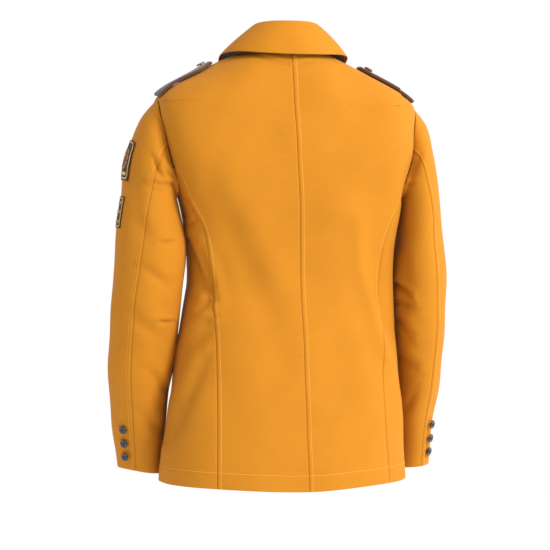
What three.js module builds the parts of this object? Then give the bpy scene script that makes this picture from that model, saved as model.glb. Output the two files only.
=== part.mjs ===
// A men's field jacket in cotton twill, built as cloth panels that meet at seams.
// Millimetres, +Z up. The wearer faces -Y and the wearer's left is +X.
// The origin is the centre of the neck opening, level with the base of the neck.
import * as THREE from "three";

// ---------- driving dimensions ----------
const CLOTH = 2.4; // thickness of a body panel: twill and its interlining
const SEAM_GAP = 0.7; // clearance between two panels at a seam
const LAYER_GAP = 1.3; // clearance between two layers that lie on each other
const LINING_GAP = 5.2; // the lining hangs this far inside the cloth
const HEM_HEIGHT = -722;
const NECKLINE_HEIGHT = 15;
const ARMHOLE_HEIGHT = -147.5; // centre of the armhole
const ARMHOLE_HALF_HEIGHT = 78.5;
const ARMHOLE_HALF_DEPTH = 49;
const ARMHOLE_SQUARENESS = 3.2;
const ARMHOLE_SKEW = 0.12; // the armhole is deeper near the underarm
const UNDERARM_HEIGHT = ARMHOLE_HEIGHT - ARMHOLE_HALF_HEIGHT;
const PRINCESS_TOP = -178; // where a princess seam runs into the armhole
const CHEST_CUT = -262; // below this the fronts swing open
const LAPEL_BREAK = -262; // the lapel starts to roll here
const HEM_TWIST = THREE.MathUtils.degToRad(9); // how far the hem hangs turned to the shoulders
const FRONT_OVERLAP = 20; // each front runs this far past the centre front
const FRONT_LIFT = 6; // the left front lies this far outside the right one
const SIDE_SEAM_DEPTH = -45; // the fronts hinge along a side seam this far forward
const HEAD_RING = 3; // the sleeve head ends on this ring
const SLEEVE_CLOTH = 2.2;

// Body sections: height, half width, depth behind, depth in front, squareness.
const BODY_SECTIONS = [
  [15, 70, 66, 50, 2.0],
  [-9, 127, 78, 66, 2.0],
  [-27, 162, 86, 80, 2.3],
  [-48, 200, 93, 90, 2.7],
  [-70, 219, 98, 98, 3.2],
  [-120, 213, 106, 112, 3.8],
  [-170, 205, 110, 120, 3.8],
  [-235, 187, 107, 124, 3.0],
  [-300, 177, 96, 120, 2.6],
  [-372, 171, 86, 114, 2.4],
  [-476, 186, 98, 118, 2.4],
  [-573, 197, 108, 124, 2.5],
  [-722, 207, 119, 132, 2.5],
];
const HEM_RISE = 3; // the hem lies this far above its nominal height at the centre back
const HEM_SIDE_RISE = 10; // and this much further up at the sides
const HEM_RISE_TOP = -560;

// The way the jacket hangs: heights and how far it sways to the wearer's left.
const SWAY = [
  [15, 0],
  [-69, 0],
  [-150, -3],
  [-250, -7],
  [-430, -7],
  [-573, -4],
  [-730, -3],
];
const RIGHT_SHOULDER_DROP = 0.045; // of the distance from the centre

// Princess seams: height, distance from the centre back.
const PRINCESS_SEAM = [
  [-170, 203],
  [-210, 184],
  [-244, 171],
  [-275, 158],
  [-310, 149],
  [-350, 144],
  [-444, 142],
  [-626, 148],
  [-730, 152],
];

// Sleeve rings below the armhole: outer x, outer z, inner x, inner z, centre y, half depth.
const SLEEVE_RINGS = {
  left: [
    [247, -100, 194, -232, 1, 64],
    [267, -148, 193, -239, 4, 67],
    [280, -202, 190, -251, 8, 67],
    [292, -265, 185, -280, 14, 65],
    [300, -340, 181, -343, 15, 63],
    [306, -430, 190, -430, 3, 61],
    [305, -520, 197, -520, -21, 57],
    [294, -610, 204, -610, -49, 52],
    [281, -692, 213, -702, -74, 48],
  ],
  right: [
    [242, -100, 194, -232, 0, 64],
    [250, -148, 195, -239, -2, 67],
    [257, -202, 195, -251, -5, 67],
    [264, -265, 193, -280, -9, 66],
    [272, -340, 186, -343, -14, 64],
    [275, -430, 189, -430, -24, 61],
    [274, -520, 194, -520, -42, 57],
    [268, -610, 200, -610, -63, 52],
    [262, -694, 206, -700, -84, 48],
  ],
};

// ---------- materials ----------
function cloth(color, roughness = 0.85) {
  return new THREE.MeshStandardMaterial({ color, roughness, metalness: 0 });
}
const MUSTARD = 0xd08a2e;
const NAVY = 0x1b2030;
const BROWN = 0x5e3a1c;
const jacket = new THREE.Group();

function add(name, geometry, color, roughness) {
  const mesh = new THREE.Mesh(geometry, cloth(color, roughness));
  mesh.name = name;
  jacket.add(mesh);
  return mesh;
}

// ---------- curves ----------
// A smooth curve through rows whose first number falls; gives the numbers in the other columns.
function profile(rows, height) {
  let i = 0;
  while (i < rows.length - 2 && height < rows[i + 1][0]) i += 1;
  const slope = (k, column) => {
    const low = rows[Math.min(k + 1, rows.length - 1)];
    const high = rows[Math.max(k - 1, 0)];
    return (low[column] - high[column]) / (low[0] - high[0]);
  };
  const [a, b] = [rows[i], rows[i + 1]];
  const span = b[0] - a[0];
  const t = THREE.MathUtils.clamp((height - a[0]) / span, 0, 1);
  const [t2, t3] = [t * t, t * t * t];
  return a.slice(1).map((from, k) => {
    const to = b[k + 1];
    const [m0, m1] = [slope(i, k + 1) * span, slope(i + 1, k + 1) * span];
    return (2 * t3 - 3 * t2 + 1) * from + (t3 - 2 * t2 + t) * m0 + (3 * t2 - 2 * t3) * to + (t3 - t2) * m1;
  });
}

function smooth(edge0, edge1, value) {
  const t = THREE.MathUtils.clamp((value - edge0) / (edge1 - edge0), 0, 1);
  return t * t * (3 - 2 * t);
}

// ---------- the body surface ----------
// Angle 0 is the wearer's left side, 90 degrees the centre back, -90 the centre front.
function bodyRadius(angle, height) {
  const [halfWidth, back, front, power] = profile(BODY_SECTIONS, height);
  const depth = Math.sin(angle) > 0 ? back : front;
  const sum = Math.abs(Math.cos(angle) / halfWidth) ** power + Math.abs(Math.sin(angle) / depth) ** power;
  return sum ** (-1 / power);
}

function bodyTwist(height) {
  return HEM_TWIST * smooth(-150, HEM_HEIGHT, height);
}

function bodyPoint(angle, height) {
  const radius = bodyRadius(angle, height);
  const turned = angle + bodyTwist(height);
  const rise = (HEM_RISE + HEM_SIDE_RISE * Math.cos(angle) ** 2) * (1 - smooth(HEM_HEIGHT, HEM_RISE_TOP, height));
  return new THREE.Vector3(radius * Math.cos(turned), radius * Math.sin(turned), height + rise);
}

// The angle on a section where the untwisted x or y has the given value.
function findAngle(height, from, to, value, part) {
  let [low, high] = [from, to];
  const rising = part(to) * bodyRadius(to, height) > part(from) * bodyRadius(from, height);
  for (let step = 0; step < 40; step += 1) {
    const middle = (low + high) / 2;
    const above = part(middle) * bodyRadius(middle, height) > value;
    if (above === rising) high = middle;
    else low = middle;
  }
  return (low + high) / 2;
}
const angleAtBackX = (height, x) => findAngle(height, 0, Math.PI, x, Math.cos);
const angleAtFrontX = (height, x) => findAngle(height, -Math.PI, 0, x, Math.cos);
const angleAtSideY = (height, y) => findAngle(height, -Math.PI / 2, Math.PI / 2, y, Math.sin);

// A closed shell of cloth on a surface point(u, v), between two distances from it.
// The normal of the surface is the cross product of its u and v directions, times `facing`.
function shell(point, rows, columns, inner, outer, facing = 1) {
  const positions = [];
  const step = 1e-3;
  const normalAt = (u, v) => {
    const du = point(Math.min(u + step, 1), v).sub(point(Math.max(u - step, 0), v));
    const dv = point(u, Math.min(v + step, 1)).sub(point(u, Math.max(v - step, 0)));
    return du.cross(dv).normalize().multiplyScalar(facing);
  };
  for (const offset of [inner, outer]) {
    for (let i = 0; i <= rows; i += 1) {
      for (let j = 0; j <= columns; j += 1) {
        const [u, v] = [i / rows, j / columns];
        const lift = typeof offset === "function" ? offset(u, v) : offset;
        const p = point(u, v).addScaledVector(normalAt(u, v), lift);
        positions.push(p.x, p.y, p.z);
      }
    }
  }
  const layer = (rows + 1) * (columns + 1);
  const at = (i, j, top) => i * (columns + 1) + j + (top ? layer : 0);
  const index = [];
  const quad = (a, b, c, d) => (facing > 0 ? index.push(a, b, c, a, c, d) : index.push(a, c, b, a, d, c));
  for (let i = 0; i < rows; i += 1) {
    for (let j = 0; j < columns; j += 1) {
      quad(at(i, j, 1), at(i + 1, j, 1), at(i + 1, j + 1, 1), at(i, j + 1, 1));
      quad(at(i, j, 0), at(i, j + 1, 0), at(i + 1, j + 1, 0), at(i + 1, j, 0));
    }
    quad(at(i, 0, 0), at(i + 1, 0, 0), at(i + 1, 0, 1), at(i, 0, 1));
    quad(at(i, columns, 0), at(i, columns, 1), at(i + 1, columns, 1), at(i + 1, columns, 0));
  }
  for (let j = 0; j < columns; j += 1) {
    quad(at(0, j, 0), at(0, j, 1), at(0, j + 1, 1), at(0, j + 1, 0));
    quad(at(rows, j, 0), at(rows, j + 1, 0), at(rows, j + 1, 1), at(rows, j, 1));
  }
  const geometry = new THREE.BufferGeometry();
  geometry.setAttribute("position", new THREE.Float32BufferAttribute(positions, 3));
  geometry.setIndex(index);
  return geometry;
}

// A closed tube of cloth: like a shell, but its columns run all the way round.
function tube(point, rows, columns, inner, outer, facing = 1) {
  const geometry = shell(point, rows, columns, inner, outer, facing);
  const position = geometry.getAttribute("position").array;
  const layer = (rows + 1) * columns;
  const kept = [];
  for (let k = 0; k < 2; k += 1) {
    for (let i = 0; i <= rows; i += 1) {
      for (let j = 0; j < columns; j += 1) {
        const source = 3 * (k * (rows + 1) * (columns + 1) + i * (columns + 1) + j);
        kept.push(position[source], position[source + 1], position[source + 2]);
      }
    }
  }
  const at = (i, j, top) => i * columns + (j % columns) + (top ? layer : 0);
  const index = [];
  const quad = (a, b, c, d) => (facing > 0 ? index.push(a, b, c, a, c, d) : index.push(a, c, b, a, d, c));
  for (let j = 0; j < columns; j += 1) {
    for (let i = 0; i < rows; i += 1) {
      quad(at(i, j, 1), at(i + 1, j, 1), at(i + 1, j + 1, 1), at(i, j + 1, 1));
      quad(at(i, j, 0), at(i, j + 1, 0), at(i + 1, j + 1, 0), at(i + 1, j, 0));
    }
    quad(at(0, j, 0), at(0, j, 1), at(0, j + 1, 1), at(0, j + 1, 0));
    quad(at(rows, j, 0), at(rows, j + 1, 0), at(rows, j + 1, 1), at(rows, j, 1));
  }
  const closed = new THREE.BufferGeometry();
  closed.setAttribute("position", new THREE.Float32BufferAttribute(kept, 3));
  closed.setIndex(index);
  return closed;
}

// Heights that the rows of every body panel share, so that neighbours follow the same edges.
const BODY_ROWS = [
  15, -9, -27, -48, -70, -95, -120, -147, -170, -186, -206, -226,
  -262, -300, -336, -372, -424, -476, -573, -650, -722,
];
const FRONT_ROWS = [-263.2, -300, -336, -372, -424, -476, -573, -650, -722];
const LINING_ROWS = [-95, -147, -186, -206, -226, -244, -262, -300, -336, -372, -424, -476, -573, -690];

// ---------- body panels ----------
const BACK = Math.PI / 2;
const half = CLOTH / 2;
const sideName = (side) => (side > 0 ? "left" : "right");

// How far the left front stands outside the plain body surface, so that it clears the right one.
function frontLift(side, x) {
  return side < 0 ? 0 : FRONT_LIFT * (1 - smooth(35, 120, x));
}

// A patch of the body. The edges are angles on the left side, as functions of height.
// On the right side the patch is the mirror image.
function bodyPatch({ side, top, bottom, from, to, inner, outer, columns, rows = BODY_ROWS, lifted = false }) {
  const heights = rows.filter((height) => height <= top + 0.01 && height >= bottom - 0.01);
  const last = heights.length - 1;
  const heightAt = (u) => {
    const k = Math.min(Math.floor(u * last), last - 1);
    return THREE.MathUtils.lerp(heights[k], heights[k + 1], u * last - k);
  };
  const angleAt = (height, v) => {
    if (side > 0) return THREE.MathUtils.lerp(from(height), to(height), v);
    return Math.PI - THREE.MathUtils.lerp(to(height), from(height), v);
  };
  const point = (u, v) => bodyPoint(angleAt(heightAt(u), v), heightAt(u));
  const lift = (u, v) => {
    const height = heightAt(u);
    const angle = angleAt(height, v);
    return lifted ? frontLift(side, bodyRadius(angle, height) * Math.cos(angle)) : 0;
  };
  return shell(point, last, columns, (u, v) => inner + lift(u, v), (u, v) => outer + lift(u, v));
}

// The edge of the armhole behind (sign 1) or in front (sign -1), and the shoulder seam above it.
function armholeDepth(share) {
  const width = (1 - Math.min(1, Math.abs(share)) ** ARMHOLE_SQUARENESS) ** (1 / ARMHOLE_SQUARENESS);
  return ARMHOLE_HALF_DEPTH * (1 - ARMHOLE_SKEW * share) * width;
}
function armholeEdge(height, sign) {
  const share = (height - ARMHOLE_HEIGHT) / ARMHOLE_HALF_HEIGHT;
  return angleAtSideY(height, sign * armholeDepth(share));
}
const princessEdge = (height) => angleAtBackX(height, profile(PRINCESS_SEAM, height)[0]);
const sideSeamY = (height) => SIDE_SEAM_DEPTH * smooth(UNDERARM_HEIGHT, CHEST_CUT, height);
const sideEdge = (height) => angleAtSideY(height, sideSeamY(height));

// The front edge of a front as x on its own side: straight below the break, then the roll line.
const frontEdgeX = (height) => -FRONT_OVERLAP + 92 * smooth(LAPEL_BREAK - 10, 15, height);
const frontEdge = (height) => angleAtFrontX(height, frontEdgeX(height));
const inset = (edge, distance) => (height) => edge(height) + distance / bodyRadius(edge(height), height);
const gap = SEAM_GAP * 0.75;

const backOuter = (height) => (height > PRINCESS_TOP ? armholeEdge(height, 1) : princessEdge(height));
const sideBackOuter = (height) => (height >= UNDERARM_HEIGHT ? armholeEdge(height, 1) : sideEdge(height));
const chestOuter = (height) => (height >= UNDERARM_HEIGHT ? armholeEdge(height, -1) : sideEdge(height));
const backInner = () => BACK;
const facingEdge = (height) => angleAtFrontX(height, frontEdgeX(height) + 78);
const lining = { inner: -half - LINING_GAP - 0.8, outer: -half - LINING_GAP, rows: LINING_ROWS };

for (const side of [1, -1]) {
  const name = sideName(side);
  const patch = (node, color, options) => add(`${node}_${name}`, bodyPatch({ side, ...options }), color);
  const whole = { inner: -half, outer: half };
  patch("back_panel", MUSTARD, {
    ...whole, top: NECKLINE_HEIGHT, bottom: HEM_HEIGHT, columns: 10,
    from: inset(backOuter, gap), to: inset(backInner, -gap),
  });
  patch("side_back", MUSTARD, {
    ...whole, top: -186, bottom: HEM_HEIGHT, columns: 5,
    from: inset(sideBackOuter, gap), to: inset(princessEdge, -gap),
  });
  patch("chest", MUSTARD, {
    ...whole, top: NECKLINE_HEIGHT, bottom: CHEST_CUT, columns: 11, lifted: true,
    from: inset(frontEdge, 0), to: inset(chestOuter, -gap),
  });
  patch("front_panel", MUSTARD, {
    ...whole, top: -263.2, bottom: HEM_HEIGHT, rows: FRONT_ROWS, columns: 8, lifted: true,
    from: inset(frontEdge, 0), to: inset(sideEdge, -gap),
  });
  patch("facing", MUSTARD, {
    inner: -half - 2.2, outer: -half - 0.8, top: -300, bottom: -650, columns: 3, lifted: true,
    from: inset(frontEdge, 2), to: facingEdge,
  });
  patch("front_lining", NAVY, {
    ...lining, top: -300, bottom: -690, columns: 5,
    from: inset(facingEdge, 2), to: inset(sideEdge, -4),
  });
  patch("chest_lining", NAVY, {
    ...lining, inner: -half - 11.6, outer: -half - 10.6, top: -95, bottom: CHEST_CUT, columns: 12,
    from: facingEdge, to: inset(chestOuter, -4),
  });
  patch("back_lining", NAVY, {
    ...lining, top: -95, bottom: -690, columns: 12,
    from: inset(sideBackOuter, 2), to: inset(backInner, -1),
  });
  const lapelWidth = (height) => 10 + 72 * smooth(LAPEL_BREAK, -95, height);
  patch("lapel", MUSTARD, {
    inner: half + 0.9, outer: half + 2.6, top: -70, bottom: -226, columns: 4, lifted: true,
    from: inset(frontEdge, 2), to: (height) => angleAtFrontX(height, frontEdgeX(height) + lapelWidth(height)),
  });
  patch("shoulder_pad", 0x8a8a86, {
    inner: -15, outer: -6, top: -20, bottom: -52, columns: 5, rows: [-20, -32, -43, -52],
    from: (height) => angleAtSideY(height, -34), to: (height) => angleAtSideY(height, 34),
  });
}

// ---------- patch pockets, flaps and the breast welt ----------
const POCKET = { near: 38, far: 158, top: -500, bottom: -652, thickness: 2 };
const FLAP = { near: 34, far: 162, top: -488, bottom: -546, thickness: 2 };
const WELT = { near: 88, far: 172, top: -196, bottom: -216 };

function evenRows(top, bottom, count) {
  return Array.from({ length: count + 1 }, (_, k) => THREE.MathUtils.lerp(top, bottom, k / count));
}

function frontRectangle(side, box, inner, outer, rowCount, columns) {
  return bodyPatch({
    side, inner, outer, columns, lifted: true,
    top: box.top, bottom: box.bottom, rows: evenRows(box.top, box.bottom, rowCount),
    from: (height) => angleAtFrontX(height, box.near),
    to: (height) => angleAtFrontX(height, box.far),
  });
}
for (const side of [1, -1]) {
  const name = sideName(side);
  const pocket = half + LAYER_GAP;
  add(`pocket_${name}`, frontRectangle(side, POCKET, pocket, pocket + POCKET.thickness, 4, 6), MUSTARD);
  const flap = pocket + POCKET.thickness + LAYER_GAP;
  add(`pocket_flap_${name}`, frontRectangle(side, FLAP, flap, flap + FLAP.thickness, 2, 6), MUSTARD);
}
add("breast_welt", frontRectangle(1, WELT, half + LAYER_GAP, half + LAYER_GAP + 1.6, 1, 4), MUSTARD);

// ---------- collar ----------
// Each half runs from the centre back round the side of the neck to the lapel.
const COLLAR_FOLD = [
  [0, 60, 64], [33, 50, 64], [55, 18, 60], [58, -18, 42], [56, -56, 10], [56, -90, -30],
];
const COLLAR_EDGE = [
  [0, 82, 8], [46, 74, 10], [88, 46, 13], [107, 4, 11], [107, -42, -3], [98, -86, -30], [93, -112, -56],
];
const STAND_FOOT = [[0, 62, 18.5], [40, 49, 18.5], [62, 16, 18.5], [62, -14, 18.5]];
const STAND_TOP = [[0, 56, 60], [31, 46.5, 60], [51, 17, 56], [53, -14, 42]];
const COLLAR_BULGE = 4;

// A smooth curve through half points and their mirror image; 0 is the wearer's right end.
function roundTheNeck(points) {
  const all = [
    ...points.slice(1).reverse().map(([x, y, z]) => new THREE.Vector3(-x, y, z)),
    ...points.map(([x, y, z]) => new THREE.Vector3(x, y, z)),
  ];
  return new THREE.CatmullRomCurve3(all, false, "centripetal");
}

function ruled(upper, lower, bulge) {
  const [a, b] = [roundTheNeck(upper), roundTheNeck(lower)];
  return (u, v) => {
    const [p, q] = [a.getPoint(1 - v), b.getPoint(1 - v)];
    const outward = new THREE.Vector3(p.x + q.x, p.y + q.y, 40).normalize();
    return p.lerp(q, u).addScaledVector(outward, bulge * Math.sin(Math.PI * u) ** 0.8);
  };
}
const fall = ruled(COLLAR_FOLD, COLLAR_EDGE, COLLAR_BULGE);
add("collar_fall", shell(fall, 4, 24, -0.2, 2), MUSTARD);
add("under_collar", shell((u, v) => fall(0.06 + 0.9 * u, 0.02 + 0.96 * v), 4, 24, -3, -1.5), NAVY);
add("collar_stand", shell(ruled(STAND_TOP, STAND_FOOT, 0), 2, 20, 0, 2), MUSTARD);

// ---------- hanger loop and neck label ----------
const LOOP_PATH = new THREE.CatmullRomCurve3(
  [[-24, 50, 40], [-20, 48, 30], [0, 47, 26], [20, 48, 30], [24, 50, 40]].map((p) => new THREE.Vector3(...p)),
);
function ribbon(path, width, thickness, steps) {
  const section = new THREE.Shape([
    [-width / 2, -thickness / 2], [width / 2, -thickness / 2],
    [width / 2, thickness / 2], [-width / 2, thickness / 2],
  ].map(([x, y]) => new THREE.Vector2(x, y)));
  return new THREE.ExtrudeGeometry(section, { extrudePath: path, steps, bevelEnabled: false });
}
add("hanger_loop", ribbon(LOOP_PATH, 5, 2, 10), NAVY);
const label = new THREE.BoxGeometry(46, 0.8, 22);
add("neck_label", label, 0xc9b48a).position.set(0, 62, -34);

// ---------- buttons ----------
function buttonGeometry(radius, thickness) {
  const shape = new THREE.Shape();
  shape.absarc(0, 0, radius, 0, 2 * Math.PI);
  for (let k = 0; k < 4; k += 1) {
    const turn = (k + 0.5) * Math.PI / 2;
    const centre = new THREE.Vector2(radius * 0.28 * Math.cos(turn), radius * 0.28 * Math.sin(turn));
    const corners = [0, 3, 2, 1].map((n) => {
      const corner = new THREE.Vector2(radius * 0.13, 0).rotateAround(new THREE.Vector2(), n * Math.PI / 2);
      return corner.add(centre);
    });
    shape.holes.push(new THREE.Path(corners));
  }
  return new THREE.ExtrudeGeometry(shape, { depth: thickness, bevelEnabled: false, curveSegments: 7 });
}

// Sets a button with its underside a given distance outside a surface point.
function addButton(name, point, normal, lift, radius, thickness, color = NAVY) {
  const mesh = add(name, buttonGeometry(radius, thickness), color, 0.35);
  mesh.position.copy(point).addScaledVector(normal, lift);
  mesh.quaternion.setFromUnitVectors(new THREE.Vector3(0, 0, 1), normal);
}

function bodyNormal(angle, height) {
  const du = bodyPoint(angle, height - 1).sub(bodyPoint(angle, height + 1));
  return du.cross(bodyPoint(angle + 0.01, height).sub(bodyPoint(angle - 0.01, height))).normalize();
}
const FRONT_BUTTONS = [-318, -400, -482];
FRONT_BUTTONS.forEach((height, k) => {
  const angle = angleAtFrontX(height, 0);
  const lift = half + FRONT_LIFT + 1.2;
  addButton(`front_button_${k + 1}`, bodyPoint(angle, height), bodyNormal(angle, height), lift, 11, 3.6);
});

// ---------- shoulder straps ----------
const STRAP = { bottom: -62, top: -8, halfWidth: 24, tip: 7, lift: 2.2, thickness: 6.5 };
const STRAP_ROWS = [-8, -12, -20, -34, -48, -62];
const strapHalfWidth = (height) => STRAP.tip + (STRAP.halfWidth - STRAP.tip) * smooth(STRAP.top + 3, -22, height);
for (const side of [1, -1]) {
  const name = sideName(side);
  add(`epaulette_${name}`, bodyPatch({
    side, top: STRAP.top, bottom: STRAP.bottom, rows: STRAP_ROWS, columns: 6,
    inner: STRAP.lift, outer: STRAP.lift + STRAP.thickness,
    from: (height) => angleAtSideY(height, -strapHalfWidth(height)),
    to: (height) => angleAtSideY(height, strapHalfWidth(height)),
  }), BROWN);
  const angle = side > 0 ? 0 : Math.PI;
  const lift = STRAP.lift + STRAP.thickness + 0.8;
  addButton(`epaulette_button_${name}`, bodyPoint(angle, -15), bodyNormal(angle, -15), lift, 7.5, 3.2, 0xb08a4a);
}

// ---------- sleeves ----------
// The point on the armhole seam at an angle: 0 is the shoulder, 90 degrees behind, 180 the underarm.
function armholePoint(phi) {
  const height = ARMHOLE_HEIGHT + ARMHOLE_HALF_HEIGHT * Math.cos(phi);
  const depth = armholeDepth(Math.cos(phi)) * Math.sign(Math.sin(phi));
  const angle = angleAtSideY(height, depth);
  return new THREE.Vector3(bodyRadius(angle, height) * Math.cos(angle) + 3, depth, height);
}

function ringPoint(side, k, phi) {
  if (k === 0) return armholePoint(phi);
  const [outer, outerZ, inner, innerZ, y, halfDepth] = SLEEVE_RINGS[sideName(side)][k - 1];
  const share = (1 + Math.cos(phi)) / 2;
  return new THREE.Vector3(
    THREE.MathUtils.lerp(inner, outer, share),
    y + halfDepth * Math.sin(phi),
    THREE.MathUtils.lerp(innerZ, outerZ, share),
  );
}

// A point of a sleeve: s counts rings from the armhole, with smooth steps between them.
const LAST_RING = SLEEVE_RINGS.left.length;
function sleevePoint(side, s, phi) {
  const k = Math.min(Math.floor(s), LAST_RING - 1);
  const t = s - k;
  const ring = (n) => ringPoint(side, THREE.MathUtils.clamp(n, 0, LAST_RING), phi);
  const [before, a, b, after] = [ring(k - 1), ring(k), ring(k + 1), ring(k + 2)];
  const weights = [
    (-t + 2 * t * t - t ** 3) / 2, (2 - 5 * t * t + 3 * t ** 3) / 2,
    (t + 4 * t * t - 3 * t ** 3) / 2, (t ** 3 - t * t) / 2,
  ];
  const p = new THREE.Vector3();
  [before, a, b, after].forEach((q, n) => p.addScaledVector(q, weights[n]));
  p.x *= side;
  return p;
}

const ELBOW_TOP = 5.31; // rings, 62 mm above and below the elbow
const ELBOW_END = 6.69;
const hindSeam = (s) => THREE.MathUtils.degToRad(88 - 22 * smooth(1, 6, s) + 8 * smooth(6, 9, s));
const FORE_SEAM = THREE.MathUtils.degToRad(-115);
const sleeveHalf = SLEEVE_CLOTH / 2;
const seamTurn = 0.012; // half a sleeve seam's clearance, as an angle
const RING_GAP = 0.02; // half the clearance between two stretches of a sleeve, in rings

function sleevePiece(side, from, to, startPhi, endPhi, rows, columns, inner = -sleeveHalf, outer = sleeveHalf) {
  const point = (u, v) => {
    const s = THREE.MathUtils.lerp(from, to, u);
    return sleevePoint(side, s, THREE.MathUtils.lerp(startPhi(s), endPhi(s), v));
  };
  return shell(point, rows, columns, inner, outer, side);
}

function sleeveTube(side, from, to, rows, columns, inner = -sleeveHalf, outer = sleeveHalf) {
  const point = (u, v) => sleevePoint(side, THREE.MathUtils.lerp(from, to, u), 2 * Math.PI * v);
  return tube(point, rows, columns, inner, outer, side);
}

const BADGES = {
  badge_upper: { from: 1.72, to: 3.05, halfTurn: 27 },
  badge_lower: { from: 3.45, to: 4.25, halfTurn: 24 },
};
const CUFF_BUTTONS = [8.13, 8.38, 8.63];

for (const side of [1, -1]) {
  const name = sideName(side);
  add(`sleeve_head_${name}`, sleeveTube(side, 0, HEAD_RING - RING_GAP, 5, 18), MUSTARD);
  const stretches = [["upper", HEAD_RING + RING_GAP, ELBOW_TOP - RING_GAP, 4], ["lower", ELBOW_END + RING_GAP, LAST_RING, 5]];
  for (const [part, from, to, rows] of stretches) {
    const top = sleevePiece(side, from, to, () => FORE_SEAM + seamTurn, (s) => hindSeam(s) - seamTurn, rows, 9);
    const under = sleevePiece(
      side, from, to, (s) => hindSeam(s) + seamTurn, () => FORE_SEAM + 2 * Math.PI - seamTurn, rows, 9,
    );
    add(`top_sleeve_${part}_${name}`, top, MUSTARD);
    add(`under_sleeve_${part}_${name}`, under, MUSTARD);
  }
  add(`sleeve_elbow_${name}`, sleeveTube(side, ELBOW_TOP + RING_GAP, ELBOW_END - RING_GAP, 3, 16), MUSTARD);
  const liningSkin = -sleeveHalf - 3;
  add(`sleeve_lining_${name}`, sleeveTube(side, 7, LAST_RING - 0.25, 3, 16, liningSkin - 0.8, liningSkin), NAVY);
  CUFF_BUTTONS.forEach((s, k) => {
    const phi = THREE.MathUtils.degToRad(50);
    const point = sleevePoint(side, s, phi);
    const along = sleevePoint(side, s + 0.05, phi).sub(sleevePoint(side, s - 0.05, phi));
    const round = sleevePoint(side, s, phi + 0.02).sub(sleevePoint(side, s, phi - 0.02));
    const normal = along.cross(round).normalize().multiplyScalar(side);
    addButton(`cuff_button_${k + 1}_${name}`, point, normal, sleeveHalf + 1.8, 7.5, 3.2);
  });
}
for (const [name, { from, to, halfTurn }] of Object.entries(BADGES)) {
  const turn = THREE.MathUtils.degToRad(halfTurn);
  const inner = sleeveHalf + LAYER_GAP;
  add(name, sleevePiece(1, from, to, () => -turn, () => turn, 6, 6, inner, inner + 1.8), BROWN);
}

// ---------- the way the jacket hangs ----------
// Every piece sways with the body, and the wearer's right shoulder sits a little lower.
function hang(point) {
  const [sway] = profile(SWAY, point.z);
  const drop = RIGHT_SHOULDER_DROP * Math.min(point.x, 0) * smooth(-260, -60, point.z);
  return point.set(point.x + sway, point.y, point.z + drop);
}
jacket.updateMatrixWorld(true);
for (const mesh of jacket.children) {
  mesh.geometry.applyMatrix4(mesh.matrixWorld);
  mesh.position.set(0, 0, 0);
  mesh.quaternion.identity();
  const position = mesh.geometry.getAttribute("position");
  for (let k = 0; k < position.count; k += 1) {
    const point = hang(new THREE.Vector3().fromBufferAttribute(position, k));
    position.setXYZ(k, point.x, point.y, point.z);
  }
}

export default jacket;
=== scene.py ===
"""A mustard field jacket seen from behind: cloth, stitching, badges and buttons round the CAD frame."""
import math

import bpy
import numpy as np
from mathutils import Matrix, Vector


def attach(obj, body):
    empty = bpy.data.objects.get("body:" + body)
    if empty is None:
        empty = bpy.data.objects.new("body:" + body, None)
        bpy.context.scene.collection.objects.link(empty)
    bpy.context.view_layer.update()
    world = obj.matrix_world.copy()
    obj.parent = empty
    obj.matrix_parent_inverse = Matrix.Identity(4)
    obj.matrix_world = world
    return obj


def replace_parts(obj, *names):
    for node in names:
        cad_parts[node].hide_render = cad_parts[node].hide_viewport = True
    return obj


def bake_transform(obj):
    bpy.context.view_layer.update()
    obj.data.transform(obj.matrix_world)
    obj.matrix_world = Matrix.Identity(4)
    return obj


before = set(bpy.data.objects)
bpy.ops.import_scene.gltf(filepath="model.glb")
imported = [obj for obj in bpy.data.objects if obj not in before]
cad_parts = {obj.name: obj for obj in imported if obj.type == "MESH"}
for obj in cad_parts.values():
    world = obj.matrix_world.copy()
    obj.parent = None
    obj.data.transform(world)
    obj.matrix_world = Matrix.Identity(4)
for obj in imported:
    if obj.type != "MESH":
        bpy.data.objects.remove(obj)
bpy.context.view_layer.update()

MM = 0.001

# ---------- the jacket's driving dimensions, as in the CAD ----------
HEM_HEIGHT = -722 * MM
NECKLINE_HEIGHT = 15 * MM
ARMHOLE_HEIGHT = -147.5 * MM
ARMHOLE_HALF_HEIGHT = 78.5 * MM
ARMHOLE_HALF_DEPTH = 49 * MM
ARMHOLE_SQUARENESS = 3.2
ARMHOLE_SKEW = 0.12  # the armhole is deeper near the underarm
UNDERARM_HEIGHT = ARMHOLE_HEIGHT - ARMHOLE_HALF_HEIGHT
PRINCESS_TOP = -178 * MM
CHEST_CUT = -262 * MM
LAPEL_BREAK = -262 * MM
HEM_TWIST = math.radians(9)
FRONT_OVERLAP = 20 * MM
FRONT_LIFT = 6 * MM
SIDE_SEAM_DEPTH = -45 * MM
CLOTH = 1.7 * MM
COAT_YAW = math.radians(9)  # how far the jacket is turned to the camera
POCKET_BOX = (38, 158, -500, -652)  # nearer and farther edge, top and bottom, in mm
FLAP_BOX = (34, 162, -488, -546)

BODY_SECTIONS = [
    [15, 70, 66, 50, 2.0], [-9, 127, 78, 66, 2.0], [-27, 162, 86, 80, 2.3], [-48, 200, 93, 90, 2.7],
    [-70, 219, 98, 98, 3.2], [-120, 213, 106, 112, 3.8], [-170, 205, 110, 120, 3.8],
    [-235, 187, 107, 124, 3.0], [-300, 177, 96, 120, 2.6], [-372, 171, 86, 114, 2.4],
    [-476, 186, 98, 118, 2.4], [-573, 197, 108, 124, 2.5], [-722, 207, 119, 132, 2.5],
]
HEM_RISE = 3 * MM  # how far the hem lies above its nominal height at the centre back
HEM_SIDE_RISE = 10 * MM  # and how much further up at the sides
HEM_RISE_TOP = -560 * MM

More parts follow.
